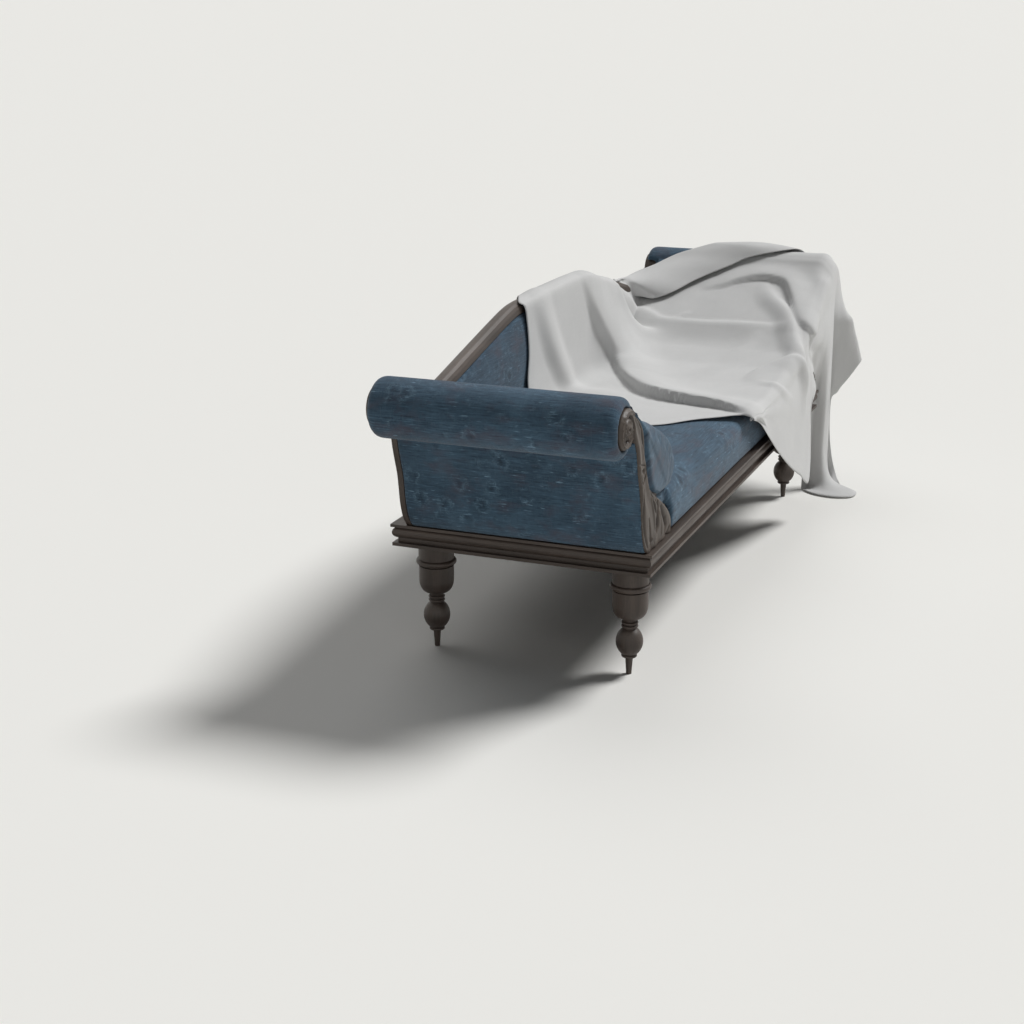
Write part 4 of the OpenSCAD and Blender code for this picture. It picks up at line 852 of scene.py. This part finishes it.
def sheet_columns(s):
    """Control points of the cloth's columns at shares s, from the back hem over the top to the front hem."""
    left_y, left_x = np.array(LEFT).T
    rest_x, rest_z = np.array(REST).T
    flat = s <= FLAT_SHARE
    arm_x, arm_z = over_arm(np.maximum(s, FLAT_SHARE))
    slopes = ease(s, 0.24, 0.37)
    turned = ease(s, TURN - 0.02, TURN + 0.03)
    turn_y, turn_z = through(TURN_LINE, np.maximum(s, TURN)).T
    rows = []
    for hang_y, slope_y, forward, lift, hang, slope in TOP_ROWS:
        y = hang_y + (slope_y - hang_y) * slopes
        y = y + (turn_y + (SHEET_FRONT - turn_y) * forward - y) * turned
        share = hang + (slope - hang) * slopes
        share = share + (ease(turn_y - y, 0, 36 + 70 * ease(s, 0.54, 0.60)) - share) * turned
        x0 = np.interp(y, left_y, left_x)
        x = np.where(flat, x0 + (ROLL_TOP_FROM - x0) * s / FLAT_SHARE, arm_x)
        z = np.where(flat, np.interp(x, rest_x, rest_z), arm_z)
        crest = crest_z(x / 1000) * 1000 + 3
        over = np.maximum(crest + lift, z)
        high = over + (np.maximum(turn_z - 9, z) - over) * turned
        z = np.where(flat, high + (z - high) * share, z)
        if forward > 0.9:
            on_roll = ease(s, 0.56, 0.62) * (1 - ease(s, 0.72, 0.80))
            z = z + lift * (1 - on_roll) - ROLL_END[len(rows) - len(TOP_ROWS)] * on_roll
        rows.append(np.column_stack([x, y, z]))
    edge = rows[0]
    behind = np.minimum(s, TURN)
    hem, mid = through(BACK_HEM, behind), through(BACK_MID, behind)
    drop = [hem, (hem * 2 + mid) / 3, (hem + mid * 2) / 3, mid, (mid + edge) / 2]
    thrown = np.maximum(s, TURN)
    collar = through(COLLAR_HEM, thrown)
    air = through(COLLAR_AIR, thrown)[:, 0]
    turn = np.column_stack([edge[:, 0], turn_y, np.maximum(turn_z, edge[:, 2]) + 3])
    out = np.clip((collar[:, 0] - 1100) / 30, 0, 1)
    back = []
    for k, t in enumerate((0.0, 0.22, 0.48, 0.74, 0.97)):
        p = collar + (turn - collar) * t
        puff = air * math.sin(math.pi * min(1, t + 0.03))
        p = p + np.column_stack([puff * out, np.zeros(len(s)), puff * (1 - out)])
        under = np.where(p[:, 0] < 1000, np.interp(p[:, 0], rest_x, rest_z), ROLL_Z * 1000 + np.sqrt(
            np.maximum(CLOTH_R ** 2 - (p[:, 0] - ROLL_X * 1000) ** 2, 0)))
        p[:, 2] = np.where(p[:, 0] < 1095, np.maximum(p[:, 2], under + 9 + 4 * (k > 0)), p[:, 2])
        w = ease(s, TURN - 0.01, TURN + 0.01)[:, None]
        back.append(drop[k] * (1 - w) + p * w)
    upper, lower, hem = through(FRONT_UPPER, s), through(FRONT_LOWER, s), through(FRONT_HEM, s)
    front = [(rows[-1] + upper) / 2, upper, (upper + lower) / 2, lower, (lower + hem) / 2, hem]
    low = hem[:, 2] < ON_FLOOR
    front[4][low] = (lower[low] * 0.72 + hem[low] * 0.28) * (1, 1, 0) + (0, 0, FLOOR_BEND)
    return np.stack(back + rows + front, axis=1)


def resample(net, count):
    """Smooth curve through the control points of every column, with count + 1 points by length."""
    n = net.shape[1]
    gap = np.linalg.norm(np.diff(net, axis=1), axis=2).mean(axis=0)
    t = np.concatenate([[0], np.cumsum(np.sqrt(gap) * 4)])
    at = np.linspace(0, t[-1], count + 1)
    flat = net.transpose(1, 0, 2).reshape(n, -1)
    return through(np.column_stack([t, flat]), at).reshape(count + 1, net.shape[0], 3).transpose(1, 0, 2)


def normals_of(p):
    """Unit normals of a net of points."""
    n = np.cross(np.gradient(p, axis=0), np.gradient(p, axis=1))
    return -n / np.maximum(np.linalg.norm(n, axis=2, keepdims=True), 1e-9)


def fold(p, line, wide, steep, lean, side, power=1.3):
    """Raises a fold along a given line whose points carry their height: its long side is wide, its steep
    side drops within steep, and lean pushes its edge over the cloth beside it."""
    line = np.asarray(line, float)
    dense = through(np.column_stack([np.arange(len(line)), line]), np.linspace(0, len(line) - 1, 160))
    path, height = dense[:, :3], dense[:, 3]
    along = np.gradient(path, axis=0)
    along /= np.linalg.norm(along, axis=1, keepdims=True)
    n = normals_of(p)
    flat = p.reshape(-1, 3)
    near = np.zeros(len(flat), int)
    best = np.full(len(flat), 1e18)
    for k in range(len(path)):
        d = ((flat - path[k]) ** 2).sum(axis=1)
        closer = d < best
        best[closer] = d[closer]
        near[closer] = k
    off = flat - path[near]
    nf = n.reshape(-1, 3)
    across = np.cross(along[near], nf) * side
    across /= np.maximum(np.linalg.norm(across, axis=1, keepdims=True), 1e-9)
    d = (off * across).sum(axis=1)
    past = (off * along[near]).sum(axis=1)
    past = np.where((near == 0) | (near == len(path) - 1), np.abs(past), 0)
    far = np.sqrt(np.maximum(best - d * d - past * past, 0))
    reach = np.where(d >= 0, wide, steep)
    share = np.clip(np.abs(d) / reach, 0, 1)
    long_side = (0.5 + 0.5 * np.cos(np.pi * share)) ** power
    rise = np.where(d >= 0, long_side, 1 - share * share * (3 - 2 * share))
    fade = np.exp(-(past / 60) ** 2) * np.clip(1.6 - far / 60, 0, 1)
    h = height[near] * rise * fade
    push = np.where(d >= 0, np.exp(-(d / 28) ** 2), np.clip(1 - share, 0, 1)) * lean * fade * np.clip(
        np.abs(height[near]) / max(np.abs(height).max(), 1e-6), 0, 1)
    return (flat + nf * h[:, None] - across * push[:, None]).reshape(p.shape)


def eased(p, middle, reach, times):
    """Rubs out the small lumps round one place."""
    share = np.exp(-np.sum(((p - middle) / reach) ** 2, axis=2))[1:-1, 1:-1, None] * 0.8
    for _ in range(times):
        beside = (p[:-2, 1:-1] + p[2:, 1:-1] + p[1:-1, :-2] + p[1:-1, 2:]) / 4
        p[1:-1, 1:-1] += share * (beside - p[1:-1, 1:-1])


def sheet_points():
    """The sheet's net of points with its folds raised on it."""
    s = np.linspace(0, 1, COLS + 1)
    p = resample(sheet_columns(s), ROWS)
    # Ridge that comes off the crest, turns at the hollow and runs along the foot of the arm's slope
    p = fold(p, [(560, 262, 702, 0), (580, 247, 686, 6), (625, 237, 654, 11), (680, 227, 620, 12),
                 (696, 205, 592, 11), (682, 170, 578, 11), (662, 126, 566, 13), (657, 1, 564, 14),
                 (664, -123, 569, 12), (666, -229, 570, 7), (660, -290, 570, 0)],
             wide=100, steep=30, lean=3, side=1)
    # Deep fold that sweeps from the crest across the seat to the front hem
    p = fold(p, [(225, 262, 778, 0), (262, 240, 735, 8), (325, 232, 640, 20), (384, 220, 540, 23),
                 (372, 168, 482, 18), (320, 130, 466, 8), (250, 96, 464, 0)],
             wide=170, steep=38, lean=6, side=-1)
    p = fold(p, [(388, 222, 540, 0), (372, 168, 478, 8), (250, 96, 464, 25), (150, 20, 461, 31),
                 (92, -60, 461, 32), (66, -150, 461, 28), (44, -240, 461, 24), (6, -325, 458, 12),
                 (0, -345, 440, 0)],
             wide=170, steep=14, lean=16, side=-1)
    # Soft fold on the back near the left edge
    p = fold(p, [(-150, 262, 780, 0), (-120, 238, 740, 8), (-64, 232, 640, 17), (10, 222, 540, 20),
                 (70, 150, 470, 14), (110, 60, 464, 0)],
             wide=95, steep=60, lean=0, side=-1, power=1.0)
    # Border of the cloth that comes over the arm: along the slope, then down the front
    p = fold(p, [(838, 60, 650, 0), (856, -10, 662, 8), (884, -52, 676, 12), (908, -118, 688, 14),
                 (902, -178, 686, 15), (886, -212, 676, 17), (842, -237, 656, 19), (786, -262, 630, 19),
                 (736, -286, 608, 17), (700, -314, 566, 14), (712, -338, 505, 9), (768, -344, 445, 0)],
             wide=95, steep=14, lean=4, side=-1)
    # Light ridge down the right side of the flap
    p = fold(p, [(894, -121, 671, 0), (846, -160, 652, 7), (799, -193, 632, 12), (764, -228, 617, 15),
                 (728, -256, 601, 17), (672, -283, 573, 18), (600, -310, 540, 17), (566, -340, 490, 14),
                 (575, -350, 450, 9), (600, -356, 396, 0)],
             wide=62, steep=30, lean=0, side=1, power=1.0)
    # Soft ridges over the seat
    p = fold(p, [(330, -60, 472, 0), (430, -120, 490, 8), (560, -170, 520, 10), (680, -200, 575, 0)],
             wide=60, steep=45, lean=0, side=-1, power=1.0)
    p = fold(p, [(330, -225, 474, 0), (379, -236, 484, 7), (436, -255, 492, 11), (500, -300, 503, 12),
                 (545, -335, 495, 11), (565, -352, 420, 8), (570, -362, 330, 0)],
             wide=60, steep=20, lean=4, side=1, power=1.0)
    # Small creases beside the pocket and in the hollow
    p = fold(p, [(343, -255, 479, 0), (330, -300, 477, 5), (344, -338, 456, 6), (443, -345, 404, 0)],
             wide=34, steep=16, lean=0, side=1, power=1.0)
    p = fold(p, [(661, 92, 567, 0), (690, 66, 584, 5), (712, 40, 592, 0)],
             wide=24, steep=14, lean=0, side=-1, power=1.0)
    # Small lumps where folds meet or end
    eased(p, middle=(735, -312, 585), reach=34, times=5)
    eased(p, middle=(700, -345, 400), reach=34, times=6)
    eased(p, middle=(15, -336, 455), reach=34, times=5)
    return p


def sheet_mesh(net):
    """Mesh with a face for each cell of the net."""
    mesh = bpy.data.meshes.new("loose sheet")
    i, j = np.meshgrid(np.arange(COLS), np.arange(ROWS), indexing="ij")
    a = (i * (ROWS + 1) + j).ravel()
    faces = np.column_stack([a, a + 1, a + ROWS + 2, a + ROWS + 1])
    mesh.from_pydata((net + (0, BASE_Y, 0)).reshape(-1, 3).tolist(), [], faces.tolist())
    mesh.update()
    return mesh


def lengths(steps, across):
    """Distances from the first point along a net's columns or rows, each the mean of all of them."""
    return np.concatenate([[0], np.cumsum(np.linalg.norm(steps, axis=2).mean(axis=across))])


NET = sheet_points() / 1000
THROW = piece("loose_sheet", sheet_mesh(NET), SHEET, "throw")
over, down = np.diff(NET, axis=0), np.diff(NET, axis=1)
laid = np.stack(np.meshgrid(lengths(over, 1), lengths(down, 0), indexing="ij"), axis=2).reshape(-1, 2)
finish_sheet(THROW, "throw", lambda co: laid, thickness=0.0016)

# Camera, light and floor

# The photograph's camera: focal length and width in pixels, its place from the middle of the base, its aim
FOCAL_PIXELS = 1762.26
PHOTO_PIXELS = 1024
SENSOR_MM = 36.0
CAMERA_PLACE = (-4.5567, BASE_Y - 1.4363, 1.6184)
CAMERA_AIM = (0.8886, 0.3516, -0.2949)

camera = bpy.data.cameras.new("camera")
camera.sensor_width = SENSOR_MM
camera.lens = FOCAL_PIXELS / PHOTO_PIXELS * SENSOR_MM
camera.clip_start, camera.clip_end = 0.1, 2000.0
eye = bpy.data.objects.new("camera", camera)
bpy.context.scene.collection.objects.link(eye)
look = Vector(CAMERA_AIM).normalized()
right = look.cross(Vector((0, 0, 1))).normalized()
up = right.cross(look)
eye.matrix_world = Matrix.Translation(CAMERA_PLACE) @ Matrix((right, up, -look)).transposed().to_4x4()
bpy.context.scene.camera = eye


def soft_light(name, toward, energy, degrees):
    """Distant lamp seen in the direction toward, as wide as degrees says."""
    lamp = bpy.data.lights.new(name, "SUN")
    lamp.energy = energy
    lamp.angle = math.radians(degrees)
    o = bpy.data.objects.new(name, lamp)
    bpy.context.scene.collection.objects.link(o)
    o.rotation_mode = "QUATERNION"
    o.rotation_quaternion = Vector(toward).to_track_quat("Z", "Y")


soft_light("key", (0.475, -0.42, 0.773), energy=2.66, degrees=19)
soft_light("overhead", (0.30, 0.42, 0.86), energy=0.55, degrees=50)
soft_light("fill", (-0.80, -0.38, 0.30), energy=0.30, degrees=60)

# A weak sky gives light, and the camera and shiny surfaces see pale paper in its place
SKY = (0.98, 0.99, 1.0, 1)
SKY_STRENGTH = 0.05
PAPER = (0.823, 0.815, 0.784, 1)
FLOOR = (0.905, 0.897, 0.863, 1)
FLOOR_SIZE = 400

world = bpy.data.worlds.new("studio")
world.use_nodes = True
bpy.context.scene.world = world
tree = world.node_tree
sky = tree.nodes["Background"]
sky.inputs["Color"].default_value = SKY
sky.inputs["Strength"].default_value = SKY_STRENGTH
paper = tree.nodes.new("ShaderNodeBackground")
paper.inputs["Color"].default_value = PAPER
seen = tree.nodes.new("ShaderNodeLightPath")
both = tree.nodes.new("ShaderNodeMixShader")
shown = seen.outputs["Is Camera Ray"]
for ray in ("Is Glossy Ray", "Is Transmission Ray"):
    either = tree.nodes.new("ShaderNodeMath")
    either.operation = "MAXIMUM"
    tree.links.new(shown, either.inputs[0])
    tree.links.new(seen.outputs[ray], either.inputs[1])
    shown = either.outputs[0]
tree.links.new(shown, both.inputs[0])
tree.links.new(sky.outputs[0], both.inputs[1])
tree.links.new(paper.outputs[0], both.inputs[2])
tree.links.new(both.outputs[0], tree.nodes["World Output"].inputs["Surface"])

bm = bmesh.new()
bmesh.ops.create_grid(bm, x_segments=1, y_segments=1, size=FLOOR_SIZE)
ground = bpy.data.meshes.new("floor")
bm.to_mesh(ground)
bm.free()
floor = bpy.data.objects.new("floor", ground)
bpy.context.scene.collection.objects.link(floor)
pale = Nodes("pale floor", 0.9)
pale.shader.inputs["Specular IOR Level"].default_value = 0.1
pale.shader.inputs["Base Color"].default_value = FLOOR
ground.materials.append(pale.mat)

bpy.context.scene.view_settings.view_transform = "Standard"
